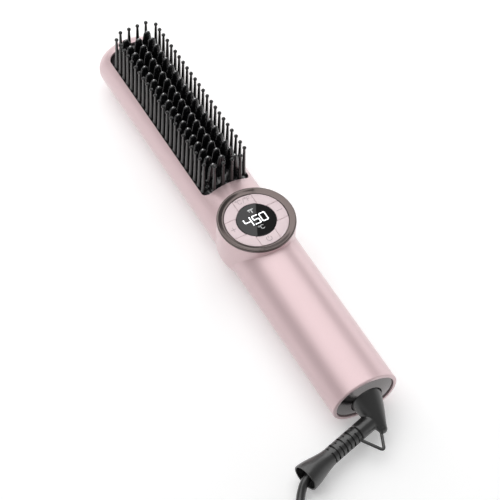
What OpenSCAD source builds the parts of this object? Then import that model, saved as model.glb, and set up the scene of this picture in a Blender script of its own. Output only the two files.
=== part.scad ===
// Heated hair straightening brush: tubular housing lying on its back, bristles up (+Z),
// handle and mains lead toward +X. Millimetres. The origin is on the surface it rests on,
// under the middle of the housing.

/* [Housing] */
// Length of the housing from the nose to the handle rim
body_len = 290; // [288:1:300]
// Width of the housing
body_w = 41.4; // [41:0.1:43]
// Height of the housing section before the rest flat is cut
body_h = 34.2; // [34:0.1:35.4]
// Radius of the two side arcs of the oval section
side_r = 15.4; // [15:0.1:15.8]
// Length of the rounding round the nose
nose_len = 11; // [9:0.5:11]
// How far the rounding of the nose reaches in from the sides
nose_inset = 13; // [11:0.5:13]
// Wall of both shells
wall = 2.2; // [2:0.1:2.4]
// Depth of the flat that the housing rests on
rest_cut = 0.4; // [0.2:0.1:0.6]
// Height of the seam between the two shells
seam_z = 9; // [8.6:0.2:9.6]

/* [Brush opening] */
// From the nose to the far edge of the opening
opening_from_nose = 10.7; // [10.5:0.1:12]
// Length of the opening
opening_len = 123.1; // [122.9:0.1:124]
// Width of the opening
opening_w = 31; // [30.6:0.1:31.6]
// Corner radius of the opening
opening_r = 4; // [3:0.5:5]
// Depth of the bristle bed below the housing surface
bed_drop = 1.4; // [1.2:0.1:1.6]
// Thickness of the bristle frame
frame_t = 2.7; // [2.5:0.1:3]
// Lap of the frame's flange under the front shell
flange_lap = 0.8; // [0.5:0.1:0.8]

/* [Cool bristles] */
// Bristles in each long row
pin_count = 23; // [18:1:23]
// Pitch of the long rows
pin_pitch = 4.96; // [4.6:0.01:4.96]
// From the opening's far edge to the first bristle of the long rows
pin_first = 8.5; // [8.3:0.1:9]
// From the middle to each long row
pin_y = 13.46; // [13.2:0.02:13.6]
// From the last bristle of the long rows to the end row
end_row_step = 4; // [3.8:0.1:4]
// Pitch across the end rows
end_row_pitch = 5.8; // [5.4:0.1:6]
// Height of the bristle tips
pin_top = 53.75; // [48:0.05:56]
// Radius of the ball on each bristle
pin_ball_r = 1.2; // [0.8:0.05:1.3]
// Radius of a bristle under its ball
pin_neck_r = 0.75; // [0.5:0.05:0.8]
// Radius of a bristle at its root
pin_root_r = 1.3; // [1:0.05:1.35]

/* [Heated teeth] */
// Teeth in each side column; the middle column has one less
tooth_count = 19; // [14:1:19]
// Pitch of the teeth
tooth_pitch = 6.03; // [5.8:0.01:6.03]
// From the middle column to each side column
tooth_y = 7.3; // [7.2:0.05:7.4]
// Height of the teeth
tooth_top = 49.7; // [46:0.1:52]
// Thickness of a tooth along the brush
tooth_t = 2.4; // [1.6:0.1:2.8]
// Half width of a tooth at its root
tooth_root_w = 3.3; // [3:0.05:3.4]
// Half width of a tooth at its rounded top
tooth_tip_w = 2.2; // [1.8:0.05:2.5]
// Radius of the bead on each tooth
tooth_bead_r = 0.75; // [0.5:0.05:0.9]
// Width of the heater window in the bristle frame
window_w = 22; // [21.6:0.1:22.4]
// Height of the flat underside of the heater plate
heater_bottom = 22.6; // [22.4:0.1:22.8]
// Thickness of the heater plate's flange
heater_flange_t = 1.8; // [1.4:0.1:1.9]
// Width of the heater plate's flange
heater_flange_w = 25.6; // [25:0.1:26]
// Height of the steam duct in the heater plate
duct_z = 27; // [26.5:0.1:27.5]
// Radius of the steam duct
duct_r = 1.5; // [1:0.1:1.8]
// Radius of the steam outlets between the middle teeth
outlet_r = 0.7; // [0.5:0.05:0.9]
// Length of each heating element
element_len = 39; // [36:0.5:39.5]
// Width of each heating element
element_w = 18; // [16:0.5:18.5]
// Thickness of each heating element
element_t = 4.4; // [4:0.1:4.8]
// Gap between the two heating elements
element_gap = 2; // [1.5:0.1:3]
// Thickness of the clamp under the elements
clamp_t = 1.6; // [1.2:0.1:1.8]
// Thickness of the mica sheet under the clamp
mica_t = 0.6; // [0.4:0.1:0.8]

/* [Control pod] */
// From the nose to the middle of the pod
pod_from_nose = 167; // [166.6:0.1:168]
// Radius of the pod
pod_r = 23.2; // [23.1:0.05:23.6]
// Radius of the rounded lower half of the pod
pod_bowl_r = 15.4; // [15:0.1:15.8]
// Height of the pod wall, where the bezel sits
pod_top = 36.2; // [36.1:0.1:36.8]
// Radius of the bore in the pod
pod_bore_r = 21; // [20.9:0.05:21.2]
// Height of the outer edge of the bezel
bezel_top = 37.8; // [37.6:0.1:38.6]
// Inner radius of the bezel
bezel_in_r = 19; // [18.95:0.05:19.3]
// How far the bezel slopes down to its inner edge
bezel_dish = 1; // [0.6:0.1:1.2]
// Depth of the bezel's skirt inside the pod
bezel_skirt = 2; // [1.6:0.1:2]

/* [Keys and display] */
// Outer radius of the key ring
key_out_r = 18.8; // [18.5:0.05:18.85]
// Inner radius of the key ring
key_in_r = 11.8; // [11.75:0.05:12.2]
// Height of the key tops
key_top = 36.7; // [36.5:0.1:36.8]
// Thickness of the keys
key_t = 1.8; // [1.6:0.1:1.9]
// Width of each key between its straight sides, with its gaps
key_w = 12.6; // [10:0.2:13]
// Gap round each key
key_gap = 0.2; // [0.15:0.05:0.3]
// Travel of the keys
key_travel = 0.4; // [0.3:0.05:0.5]
// Radius of the stem under each key
key_stem_r = 1.8; // [1.5:0.1:2]
// Depth of the engraved key marks
mark_depth = 0.15; // [0.1:0.05:0.3]
// Radius of the display lens
lens_r = 11.6; // [11.2:0.05:11.65]
// Height of the display lens
lens_top = 36.8; // [36.6:0.1:37]
// Thickness of the display lens
lens_t = 1.2; // [1:0.1:1.3]
// Top of the base plate under the keys
plate_top = 34; // [33.9:0.05:34.1]
// Thickness of the base plate under the keys
plate_t = 0.8; // [0.6:0.05:0.9]
// Radius of the display board
board_r = 19.2; // [18.8:0.1:19.4]
// Top of the display board
board_top = 31; // [30.8:0.05:31.1]
// Thickness of the display board
board_t = 1.6; // [1.2:0.1:1.8]

/* [Handle inside] */
// From the pod's middle to the near end of the main board
main_board_from_pod = 28.7; // [28:0.1:30]
// Length of the main board
main_board_len = 68; // [66:1:69]
// Top of the main board
main_board_top = 10; // [9.9:0.05:10.2]
// Thickness of the main board
main_board_t = 1.6; // [1.4:0.1:1.8]
// From the pod's middle to the near end of the water tank
tank_from_pod = 27; // [26.6:0.1:28]
// Length of the water tank
tank_len = 50; // [48:0.5:51]
// Side of the tank that faces the board
tank_side_y = 4.2; // [4:0.1:4.6]
// Wall of the water tank
tank_wall = 1.2; // [1:0.1:1.4]
// Radius of the filler hole
filler_r = 3.4; // [3.2:0.1:3.6]
// Height of the filler
filler_z = 15.4; // [15.2:0.1:15.8]
// From the tank's near end to the filler
filler_from_tank = 12; // [10:0.5:30]
// Radius of the filler plug's flange
filler_flange_r = 5.2; // [5:0.1:5.4]
// How far the filler plug pulls out
filler_travel = 12; // [8:1:16]
// Height of the water tube
tube_z = 17; // [16.8:0.1:17.4]
// Place of the water tube across the housing
tube_y = 1.3; // [1.2:0.1:1.5]
// Outer radius of the water tube
tube_r = 2; // [1.8:0.1:2.1]
// Bore radius of the water tube
tube_bore_r = 1; // [0.8:0.1:1.2]

/* [Cord swivel] */
// How far the end cap stands out of the handle rim
cap_dome = 1.4; // [1.2:0.1:1.8]
// Thickness of the end cap inside the handle
cap_t = 4; // [3.6:0.1:4.4]
// Recess of the end cap's edge in the handle rim
cap_recess = 0.8; // [0.6:0.1:1]
// Radius of the elbow where it leaves the end cap
elbow_root_r = 9.3; // [9:0.1:9.5]
// Dark gap round the elbow in the end cap
elbow_gap = 0.5; // [0.4:0.05:0.7]
// Radius of the swivel journal
journal_r = 7; // [6.6:0.1:7.4]
// Running clearance of the journal in its bush
journal_gap = 0.05; // [0.03:0.01:0.1]
// Length of the swivel bush
bush_len = 4.8; // [4.4:0.1:5]
// Radius of the elbow's narrow end
elbow_tip_r = 2.85; // [2.6:0.05:3.2]
// Radius of the strain relief
relief_r = 5.1; // [4.8:0.1:5.3]
// Radius of the strain relief's bell mouth
mouth_r = 8.2; // [7.8:0.1:8.4]
// Length of the bell mouth
mouth_len = 20; // [18:0.5:20]
// Length of the strain relief from the elbow's middle to the mouth
relief_len = 54.7; // [54:0.1:55]
// Pitch of the grooves in the strain relief
groove_pitch = 5.9; // [5.6:0.1:6]
// Width of the grooves
groove_w = 0.9; // [0.7:0.1:1.1]
// Depth of the grooves
groove_depth = 1; // [0.8:0.1:1.2]
// Radius of the wire of the hanging loop
loop_wire_r = 0.95; // [0.7:0.05:1]

/* [Mains lead] */
// Diameter of the mains lead
cord_d = 5; // [4.6:0.1:5]
// Turns of the stored coil
coil_turns = 9.2; // [9.2:0.1:9.2]
// Outer centre-line radius of the stored coil
coil_out_r = 35.5; // [35:0.5:37]
// Spacing of the coil's turns
coil_pitch = 5.6; // [5.5:0.1:5.8]

/* [Hidden] */
$fn = 96;
eps = 0.01;

pink = [0.90, 0.78, 0.80];
dark = [0.10, 0.10, 0.11];
gunmetal = [0.36, 0.31, 0.32];
silver = [0.75, 0.75, 0.77];
brass = [0.80, 0.66, 0.34];
board_green = [0.10, 0.35, 0.20];

// Frame of the part
overall_len = body_len + cap_dome;
nose_x = -overall_len / 2;
rim_x = nose_x + body_len;
axis_z = body_h / 2 - rest_cut;
pod_x = nose_x + pod_from_nose;

// Four-arc oval
half_w = body_w / 2;
half_h = body_h / 2;
top_r = (half_w * half_w + half_h * half_h - 2 * half_w * side_r) / (2 * (half_h - side_r));
side_c = half_w - side_r;
top_c = top_r - half_h;
arc_angle = atan2(top_c, side_c);

// Opening and what fills it
opening_x = nose_x + opening_from_nose;
opening_end = opening_x + opening_len;
fit_gap = 0.15;
frame_seat = wall + 0.1;
frame_under = bed_drop + frame_t;
pin_x = opening_x + pin_first;
pin_end = pin_x + (pin_count - 1) * pin_pitch;
window_margin = 1.7;
window_x = pin_x - end_row_step + window_margin;
window_end = pin_end + end_row_step - window_margin;
tooth_x = pin_x;
duct_end = tooth_x + (tooth_count - 1) * tooth_pitch - 4;
clamp_x = tooth_x + 2;
clamp_len = 2 * element_len + element_gap + 2;
element_z = heater_bottom - element_t;
clamp_z = element_z - clamp_t;
mica_z = clamp_z - mica_t;
evaporator_x = clamp_x + clamp_len + 3;
evaporator_len = 24;
evaporator_h = 8;
evaporator_w = 18;

// Pod levels
skirt_z = pod_top - bezel_skirt;
ledge_top = plate_top - plate_t - 0.1;
ledge_t = 1.4;
ledge_r = board_r + 0.4;
key_mid_r = (key_in_r + key_out_r) / 2;
stem_bottom = plate_top - 0.5;
plunger_top = stem_bottom - key_travel - 0.1;
switch_h = 1.6;

// Handle levels
main_board_x = pod_x + main_board_from_pod;
main_board_y = -15;
main_board_w = 13.5;
tank_x = pod_x + tank_from_pod;
filler_x = tank_x + filler_from_tank;
filler_face_y = half_w - 0.6;
filler_flange_t = 1.2;
pump_x = tank_x + tank_len + 3;
pump_head_t = 7;
pump_motor_len = 11;
screw_places = [
    [nose_x + 6.1, 0], [pod_x - 26.3, 12], [pod_x - 26.3, -12],
    [pod_x + 22.7, 12], [pod_x + 22.7, -12], [rim_x - 17.3, -12]
];

// Swivel
cap_x = rim_x - cap_recess - cap_t;
bush_x = cap_x - bush_len - 0.1;
clip_t = 1.5;
clip_x = bush_x - clip_t - 0.1;
neck_r = 4.5;
ring_x = clip_x - 11.5;
ring_out_r = 5.6;
elbow_face = rim_x + cap_dome;
elbow_mid = [elbow_face + 9.9, 0, axis_z - 4.9];
elbow_tip = [elbow_face + 17.95, 0, axis_z - 5.8];
relief_turn = -75.8;
relief_dip = 2.7;
groove_first = 14.6;
loop_start = [elbow_face + 17.5, -0.8, axis_z - 6.8];
loop_corner = [elbow_face + 29.4, -5.8, axis_z - 7.2];
loop_back = [elbow_face + 15.4, -15.8, axis_z - 6.2];

// Mains lead: route by hand, from the throat of the bell mouth to the coil
cord_r = cord_d / 2;
throat_depth = 14;
coil_mid = [225, -82];
coil_start = 198;
coil_layers = 4;
lead_route = [
    [167.2, -46.2, 9.2], [169.8, -53.4, 7.0], [173.4, -57.6, 4.8], [177.6, -61.0, 3.2],
    [182.0, -65.1, 2.5], [185.8, -70.6, 2.5], [188.3, -77.5, 2.5]
];

// ---------------------------------------------------------------- shapes

// Oval section of the housing, offset inwards
module oval(inset = 0) {
    flat_w = 2 * (top_r - inset) * side_c / (top_r - side_r);
    intersection() {
        translate([0, -top_c]) circle(top_r - inset);
        translate([0, top_c]) circle(top_r - inset);
        square([flat_w, body_h], center = true);
    }
    for (side = [-1, 1])
        translate([side * side_c, 0]) circle(side_r - inset);
}

// Extrusion along the housing from x over a length, about the housing axis
module along(x, len) {
    translate([x, 0, axis_z]) rotate([90, 0, 90]) linear_extrude(len) children();
}

// Corners of the oval section, for the nose
function arc_corners(at, r, from, span, n) =
    [for (i = [0 : n - 1]) at + r * [cos(from + span * i / n), sin(from + span * i / n)]];

function oval_corners(inset) =
    let (side = side_r - inset, top = top_r - inset, a = arc_angle, b = 180 - 2 * arc_angle)
    concat(
        arc_corners([side_c, 0], side, -a, 2 * a, 14),
        arc_corners([0, -top_c], top, a, b, 10),
        arc_corners([-side_c, 0], side, 180 - a, 2 * a, 14),
        arc_corners([0, top_c], top, 180 + a, b, 10)
    );

nose_steps = 8;
nose_joint = 0.03;

// Rounded nose, offset inwards: rings of corners from the front face to just inside the tube
module nose(inset = 0) {
    rings = concat(
        [for (i = [nose_steps : -1 : 0]) let (a = 90 * i / nose_steps) [
            nose_x + inset + (nose_len - inset) * (1 - sin(a)),
            inset + nose_joint + (nose_inset - inset) * (1 - cos(a))
        ]],
        [[nose_x + nose_len + 0.5, inset + nose_joint]]
    );
    n = 48;
    last = len(rings) - 1;
    corners = [for (ring = rings) each [for (c = oval_corners(ring[1])) [ring[0], c[0], axis_z + c[1]]]];
    walls = [for (i = [0 : last - 1]) for (k = [0 : n - 1])
        [i * n + k, (i + 1) * n + k, (i + 1) * n + (k + 1) % n, i * n + (k + 1) % n]];
    front = [[for (k = [0 : n - 1]) k]];
    back = [[for (k = [n - 1 : -1 : 0]) last * n + k]];
    polyhedron(corners, concat(walls, front, back), convexity = 4);
}

// Straight part of the housing volume, offset inwards
module tube(inset = 0, past = 0) {
    along(nose_x + nose_len, body_len - nose_len + past) oval(inset);
}

// Whole housing volume, offset inwards
module housing(inset = 0, past = 0) {
    nose(inset);
    tube(inset, past);
}

// Pod volume: a drum with a bowl under it
module pod(inset = 0, top = pod_top) {
    bowl_r = pod_bowl_r - inset;
    drum_r = pod_r - inset;
    translate([pod_x, 0, axis_z]) rotate_extrude() {
        square([drum_r, top - axis_z]);
        translate([0, -bowl_r]) square([drum_r - bowl_r, bowl_r + eps]);
        intersection() {
            translate([drum_r - bowl_r, 0]) circle(bowl_r);
            translate([drum_r - bowl_r - eps, -bowl_r]) square([bowl_r + eps, bowl_r + eps]);
        }
    }
}

// Everything above or below a height, over the housing
module above(z) {
    translate([nose_x - 10, -40, z]) cube([overall_len + 20, 80, 60]);
}

module below(z) {
    translate([nose_x - 10, -40, z - 60]) cube([overall_len + 20, 80, 60]);
}

// Rounded rectangle in plan, grown by a lap, between two heights
module plan_block(x1, x2, w, r, z1, z2) {
    translate([0, 0, z1]) linear_extrude(z2 - z1) {
        translate([x1 + r, -w / 2]) square([x2 - x1 - 2 * r, w]);
        translate([x1, -w / 2 + r]) square([x2 - x1, w - 2 * r]);
        for (x = [x1 + r, x2 - r])
            for (y = [-w / 2 + r, w / 2 - r])
                translate([x, y]) circle(r);
    }
}

// Box by its lowest corner and size
module block(at, size) {
    translate(at) cube(size);
}

// Wire through points; the balls at its corners stand slightly proud
module wire(points, r) {
    for (i = [0 : len(points) - 2]) {
        step = points[i + 1] - points[i];
        turn = atan2(step[1], step[0]);
        tilt = acos(step[2] / norm(step));
        translate(points[i]) rotate([0, tilt, turn]) cylinder(r = r, h = norm(step), $fn = 24);
        if (i > 0)
            translate(points[i]) sphere(1.02 * r, $fn = 24);
    }
}

// ---------------------------------------------------------------- housing

module shell_boss(place, r, z1, z2) {
    translate([place[0], place[1], z1]) cylinder(r = r, h = z2 - z1, $fn = 48);
}

boss_r = 2.8;
pilot_r = 1.2;
screw_seat_z = 5;
screw_head_r = 2.7;
screw_head_t = 1.5;
screw_top = axis_z + 6;

module front_shell() {
    color(pink) difference() {
        union() {
            housing();
            pod();
        }
        difference() {
            union() {
                housing(wall, 1);
                pod(wall, top = ledge_top - ledge_t);
            }
            for (place = screw_places) shell_boss(place, boss_r, -5, 50);
        }
        translate([pod_x, 0, ledge_top]) cylinder(r = pod_bore_r, h = 20);
        translate([pod_x, 0, axis_z]) cylinder(r = ledge_r, h = 30);
        below(seam_z);
        plan_block(opening_x, opening_end, opening_w, opening_r, axis_z, axis_z + 30);
        for (place = screw_places) shell_boss(place, pilot_r, seam_z - 1, screw_top + 1);
        translate([filler_x, filler_face_y - filler_flange_t, filler_z]) rotate([-90, 0, 0])
            cylinder(r = filler_flange_r + 0.3, h = 10);
        translate([filler_x, 10, filler_z]) rotate([-90, 0, 0])
            cylinder(r = filler_r + 1.5, h = 20);
    }
}

module back_shell() {
    color(pink) difference() {
        union() {
            housing();
            pod();
        }
        difference() {
            union() {
                housing(wall, 1);
                pod(wall);
            }
            for (place = screw_places) shell_boss(place, boss_r + 1.2, -5, 50);
            for (x = [main_board_x + 5, main_board_x + main_board_len - 5])
                for (y = [main_board_y + 4, main_board_y + main_board_w - 3])
                    translate([x, y, 0])
                        cylinder(r = 2, h = main_board_top - main_board_t, $fn = 48);
        }
        above(seam_z);
        below(0);
        for (place = screw_places) {
            shell_boss(place, pilot_r + 0.4, -1, seam_z + 1);
            shell_boss(place, screw_head_r + 0.3, -1, screw_seat_z);
        }
    }
}

module shell_screws() {
    color(silver) for (place = screw_places) {
        shell_boss(place, screw_head_r, screw_seat_z - screw_head_t, screw_seat_z);
        shell_boss(place, pilot_r - 0.05, screw_seat_z - eps, screw_top);
    }
}

// ---------------------------------------------------------------- brush

// Places of the cool bristles
end_row_y = [-1.5, -0.5, 0.5, 1.5] * end_row_pitch;
pin_places = concat(
    [for (i = [0 : pin_count - 1]) for (side = [-1, 1]) [pin_x + i * pin_pitch, side * pin_y]],
    [for (y = end_row_y) [pin_x - end_row_step, y]],
    [for (y = end_row_y) [pin_end + end_row_step, y]]
);
pin_sink = 28;

module bristle() {
    rotate_extrude($fn = 24) {
        polygon([
            [0, pin_sink - 2.2], [pin_root_r, pin_sink - 2.2], [pin_root_r, pin_sink],
            [pin_neck_r, pin_top - 2 * pin_ball_r], [pin_neck_r, pin_top - pin_ball_r],
            [0, pin_top - pin_ball_r]
        ]);
        intersection() {
            translate([0, pin_top - pin_ball_r]) circle(pin_ball_r);
            translate([0, pin_top - 2 * pin_ball_r]) square([pin_ball_r, 2 * pin_ball_r]);
        }
    }
}

module bristle_frame() {
    color(dark) {
        difference() {
            union() {
                intersection() {
                    plan_block(opening_x + fit_gap, opening_end - fit_gap,
                        opening_w - 2 * fit_gap, opening_r - fit_gap, axis_z + 2, 50);
                    bed_tube(bed_drop);
                }
                intersection() {
                    plan_block(opening_x - flange_lap, opening_end + flange_lap,
                        opening_w + 2 * flange_lap, opening_r, axis_z + 2, 50);
                    bed_tube(frame_seat);
                }
            }
            bed_tube(frame_under);
            plan_block(window_x, window_end, window_w, 2, 0, 50);
        }
        for (place = pin_places) translate([place[0], place[1], 0]) bristle();
    }
}

// Oval under the bristles, long enough for the frame and its flange
module bed_tube(inset) {
    along(opening_x - 5, opening_len + 10) oval(inset);
}

tooth_foot = 29;
bead_lift = 0.35;

// Bell-shaped outline of a tooth, across the brush
module tooth_outline() {
    tip_z = tooth_top - bead_lift - tooth_tip_w;
    translate([0, tip_z]) circle(tooth_tip_w, $fn = 48);
    polygon([
        [-tooth_root_w, tooth_foot], [tooth_root_w, tooth_foot],
        [tooth_tip_w, tip_z], [-tooth_tip_w, tip_z]
    ]);
}

module tooth() {
    translate([-tooth_t / 2, 0, 0]) rotate([90, 0, 90]) linear_extrude(tooth_t) tooth_outline();
    translate([0, 0, tooth_top - tooth_bead_r]) sphere(tooth_bead_r, $fn = 24);
}

module heater_plate() {
    heater_x = window_x + fit_gap;
    heater_end = window_end - fit_gap;
    flange_x = clamp_x - 3;
    color(dark) difference() {
        union() {
            intersection() {
                plan_block(heater_x, heater_end, window_w - 2 * fit_gap, 2 - fit_gap,
                    heater_bottom, 50);
                bed_tube(bed_drop + 0.2);
            }
            block([flange_x, -heater_flange_w / 2, heater_bottom],
                [heater_end - flange_x - 1, heater_flange_w, heater_flange_t]);
            for (side = [-1, 1])
                for (i = [0 : tooth_count - 1])
                    translate([tooth_x + i * tooth_pitch, side * tooth_y, 0]) tooth();
            for (i = [0 : tooth_count - 2])
                translate([tooth_x + (i + 0.5) * tooth_pitch, 0, 0]) tooth();
        }
        translate([tooth_x + 3, 0, duct_z]) rotate([0, 90, 0])
            cylinder(r = duct_r, h = duct_end - tooth_x - 3, $fn = 48);
        translate([duct_end - duct_r, 0, heater_bottom - 1])
            cylinder(r = duct_r, h = duct_z - heater_bottom + 1, $fn = 48);
        for (i = [1 : 2 : tooth_count - 2])
            translate([tooth_x + i * tooth_pitch, 0, duct_z])
                cylinder(r = outlet_r, h = 10, $fn = 24);
        for (x = clamp_screw_x)
            translate([x, 0, heater_bottom - 1]) cylinder(r = clamp_pilot_r, h = 3.6, $fn = 24);
    }
}

clamp_pilot_r = 0.9;
clamp_screw_x = [
    clamp_x + 0.5 - 1.2, clamp_x + 1 + element_len + element_gap / 2, clamp_x + clamp_len + 0.7
];

module heating_elements() {
    color(silver) for (i = [0, 1])
        block([clamp_x + 1 + i * (element_len + element_gap), -element_w / 2, element_z],
            [element_len, element_w, element_t]);
}

module element_clamp() {
    color([0.6, 0.6, 0.6]) difference() {
        block([clamp_x - 2.5, -element_w / 2, clamp_z], [clamp_len + 5, element_w, clamp_t]);
        for (x = clamp_screw_x)
            translate([x, 0, clamp_z - 1]) cylinder(r = clamp_pilot_r + 0.2, h = 4, $fn = 24);
    }
}

module clamp_screws() {
    color(silver) for (x = clamp_screw_x) {
        translate([x, 0, clamp_z - 1]) cylinder(r = 1.6, h = 1, $fn = 24);
        translate([x, 0, clamp_z - eps])
            cylinder(r = clamp_pilot_r - 0.05, h = heater_bottom - clamp_z + 2, $fn = 24);
    }
}

module mica_sheet() {
    color([0.78, 0.70, 0.55]) difference() {
        block([clamp_x - 2.5, -element_w / 2, mica_z], [clamp_len + 5, element_w, mica_t]);
        for (x = clamp_screw_x)
            translate([x, 0, mica_z - 1]) cylinder(r = 1.9, h = 4, $fn = 24);
    }
}

module thermistor() {
    color(silver) translate([clamp_x + 30, element_w / 2 + 2, heater_bottom - 1.2])
        rotate([0, 90, 0]) cylinder(r = 1.2, h = 9, $fn = 48);
}

module thermal_fuse() {
    color(silver) translate([clamp_x + 46, -element_w / 2 - 2, heater_bottom - 1.6])
        rotate([0, 90, 0]) cylinder(r = 1.6, h = 12, $fn = 48);
}

module evaporator() {
    color([0.68, 0.68, 0.70]) difference() {
        union() {
            block([evaporator_x, -evaporator_w / 2, heater_bottom - evaporator_h],
                [evaporator_len, evaporator_w, evaporator_h]);
            translate([evaporator_x + evaporator_len - eps, tube_y, tube_z]) rotate([0, 90, 0])
                cylinder(r = tube_bore_r - 0.02, h = 4, $fn = 48);
        }
        translate([duct_end - duct_r, 0, heater_bottom - 4])
            cylinder(r = duct_r, h = 5, $fn = 48);
        translate([duct_end - duct_r - 1, tube_y, tube_z]) rotate([0, 90, 0])
            cylinder(r = 0.5, h = 40, $fn = 24);
        translate([duct_end - duct_r - 1, tube_y - 2, tube_z - 1])
            cube([2, 4, heater_bottom - 3 - tube_z]);
    }
}

// ---------------------------------------------------------------- water

// Straight length of soft tube
module tube_x(x1, x2, y, z) {
    translate([x1, y, z]) rotate([0, 90, 0]) difference() {
        cylinder(r = tube_r, h = x2 - x1, $fn = 48);
        translate([0, 0, -1]) cylinder(r = tube_bore_r, h = x2 - x1 + 2, $fn = 48);
    }
}

tank_port_y = 10;
tank_port_z = 10.5;

module water_tube() {
    color([0.9, 0.9, 0.92]) tube_x(evaporator_x + evaporator_len, pump_x, tube_y, tube_z);
}

module tank_tube() {
    color([0.9, 0.9, 0.92]) tube_x(tank_x + tank_len, pump_x, tank_port_y, tank_port_z);
}

module pump() {
    color(dark) {
        intersection() {
            block([pump_x, -1.5, 0], [pump_head_t, 30, 22]);
            tube(frame_seat);
        }
        translate([pump_x + pump_head_t, 8.5, 14]) rotate([0, 90, 0])
            cylinder(r = 5.5, h = pump_motor_len);
        for (port = [[tube_y, tube_z], [tank_port_y, tank_port_z]])
            translate([pump_x - 2, port[0], port[1]]) rotate([0, 90, 0])
                cylinder(r = tube_bore_r - 0.02, h = 2 + eps, $fn = 48);
    }
}

// Tank volume against the side of the housing
module tank_volume(inset) {
    intersection() {
        tube(wall + 0.3 + inset);
        block([tank_x + inset, tank_side_y + inset, 0],
            [tank_len - 2 * inset, 40, 60]);
        below(27 - inset);
    }
}

module water_tank() {
    neck_end = filler_face_y - filler_flange_t - 0.3;
    color([0.85, 0.88, 0.90]) difference() {
        union() {
            tank_volume(0);
            translate([filler_x, neck_end - 4, filler_z]) rotate([-90, 0, 0])
                cylinder(r = filler_r + 1.2, h = 4);
        }
        tank_volume(tank_wall);
        translate([filler_x, neck_end - 10, filler_z]) rotate([-90, 0, 0])
            cylinder(r = filler_r, h = 20);
        translate([tank_x + tank_len - 3, tank_port_y, tank_port_z]) rotate([0, 90, 0])
            cylinder(r = tube_bore_r, h = 5, $fn = 48);
    }
}

module filler_seal() {
    color([0.2, 0.2, 0.2]) translate([filler_x, filler_face_y - filler_flange_t - 0.3, filler_z])
        rotate([-90, 0, 0]) difference() {
            cylinder(r = filler_r + 1.4, h = 0.3);
            translate([0, 0, -1]) cylinder(r = filler_r + 0.2, h = 3);
        }
}

module filler_plug() {
    color(dark) translate([filler_x, filler_face_y - filler_flange_t, filler_z])
        rotate([-90, 0, 0]) {
            cylinder(r = filler_flange_r, h = filler_flange_t);
            translate([0, 0, -5]) cylinder(r = filler_r - 0.05, h = 5 + eps);
            translate([-2.2, -0.7, filler_flange_t - eps]) cube([4.4, 1.4, 1.2]);
        }
}

// ---------------------------------------------------------------- control pod

module at_pod(z) {
    translate([pod_x, 0, z]) children();
}

module bezel_ring() {
    side_h = 0.8;
    color(gunmetal) at_pod(0) rotate_extrude() polygon([
        [bezel_in_r, skirt_z], [pod_bore_r - 0.1, skirt_z], [pod_bore_r - 0.1, pod_top],
        [pod_r + 0.05, pod_top], [pod_r + 0.05, pod_top + side_h],
        [pod_r - 0.5, bezel_top], [pod_r - 1, bezel_top],
        [bezel_in_r, bezel_top - bezel_dish]
    ]);
}

// Ring area between two radii
module ring_area(r1, r2) {
    difference() {
        circle(r2);
        circle(r1);
    }
}

// Plan of one key, shrunk by a gap all round
module key_area(a, gap) {
    intersection() {
        ring_area(key_in_r + gap, key_out_r - gap);
        rotate(a) translate([0, gap - key_w / 2]) square([30, key_w - 2 * gap]);
    }
}

key_turns = [0, 90, 180, 270];

module key_ring() {
    color(pink) {
        difference() {
            union() {
                at_pod(plate_top - eps) linear_extrude(key_top - plate_top + eps) difference() {
                    ring_area(key_in_r, key_out_r);
                    for (a = key_turns) key_area(a, 0);
                }
                at_pod(plate_top - plate_t) cylinder(r = pod_bore_r - 0.2, h = plate_t);
                at_pod(plate_top - eps) cylinder(r = key_in_r - 0.4, h = lens_top - lens_t - plate_top + eps);
                for (a = [45, 225])
                    at_pod(board_top) rotate(a) translate([16.2, 0, 0])
                        cylinder(r = 1.9, h = plate_top - plate_t - board_top + eps, $fn = 48);
            }
            at_pod(plate_top - plate_t - 1) cylinder(r = key_in_r - 2, h = 5);
            at_pod(plate_top - plate_t - 1) for (a = key_turns)
                rotate(a) translate([key_mid_r, 0, 0])
                    cylinder(r = key_stem_r + key_gap, h = 5, $fn = 48);
            for (a = [45, 225])
                at_pod(board_top - 1) rotate(a) translate([16.2, 0, 0])
                    cylinder(r = 0.7, h = 3, $fn = 24);
        }
    }
}

// One key; its mark is cut from the top
module key(a) {
    color(pink) difference() {
        union() {
            at_pod(key_top - key_t) linear_extrude(key_t) key_area(a, key_gap);
            at_pod(stem_bottom) rotate(a) translate([key_mid_r, 0, 0])
                cylinder(r = key_stem_r, h = key_top - key_t - stem_bottom + eps, $fn = 48);
        }
        at_pod(key_top - mark_depth) rotate(a) translate([key_mid_r, 0, 0])
            rotate(-a) linear_extrude(1) children();
    }
}

mark_w = 0.4;
mark_len = 3;

module key_power() {
    key(0) {
        difference() {
            ring_area(1.5, 1.5 + mark_w);
            translate([-2.5, -0.7]) square([2.5, 1.4]);
        }
        translate([-2.3, -mark_w / 2]) square([2, mark_w]);
    }
}

module key_mode() {
    key(180) {
        for (y = [-1.6, 1.6])
            translate([0, y]) ring_area(0.7, 0.7 + mark_w);
        translate([-1.4, -mark_w / 2]) square([mark_len, mark_w]);
    }
}

module key_plus() {
    key(270) {
        square([mark_len, mark_w], center = true);
        square([mark_w, mark_len], center = true);
    }
}

module key_minus() {
    key(90) square([mark_w, mark_len], center = true);
}

module display_lens() {
    color(dark) at_pod(lens_top - lens_t) cylinder(r = lens_r, h = lens_t);
}

module display_module() {
    color([0.9, 0.9, 0.88]) at_pod(0)
        block([-6.5, -6.5, board_top], [13, 13, lens_top - lens_t - board_top]);
}

module display_board() {
    color(board_green) difference() {
        at_pod(board_top - board_t) cylinder(r = board_r, h = board_t);
        for (a = [45, 225])
            at_pod(board_top - board_t - 1) rotate(a) translate([16.2, 0, 0])
                cylinder(r = 0.9, h = 4, $fn = 24);
    }
}

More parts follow.
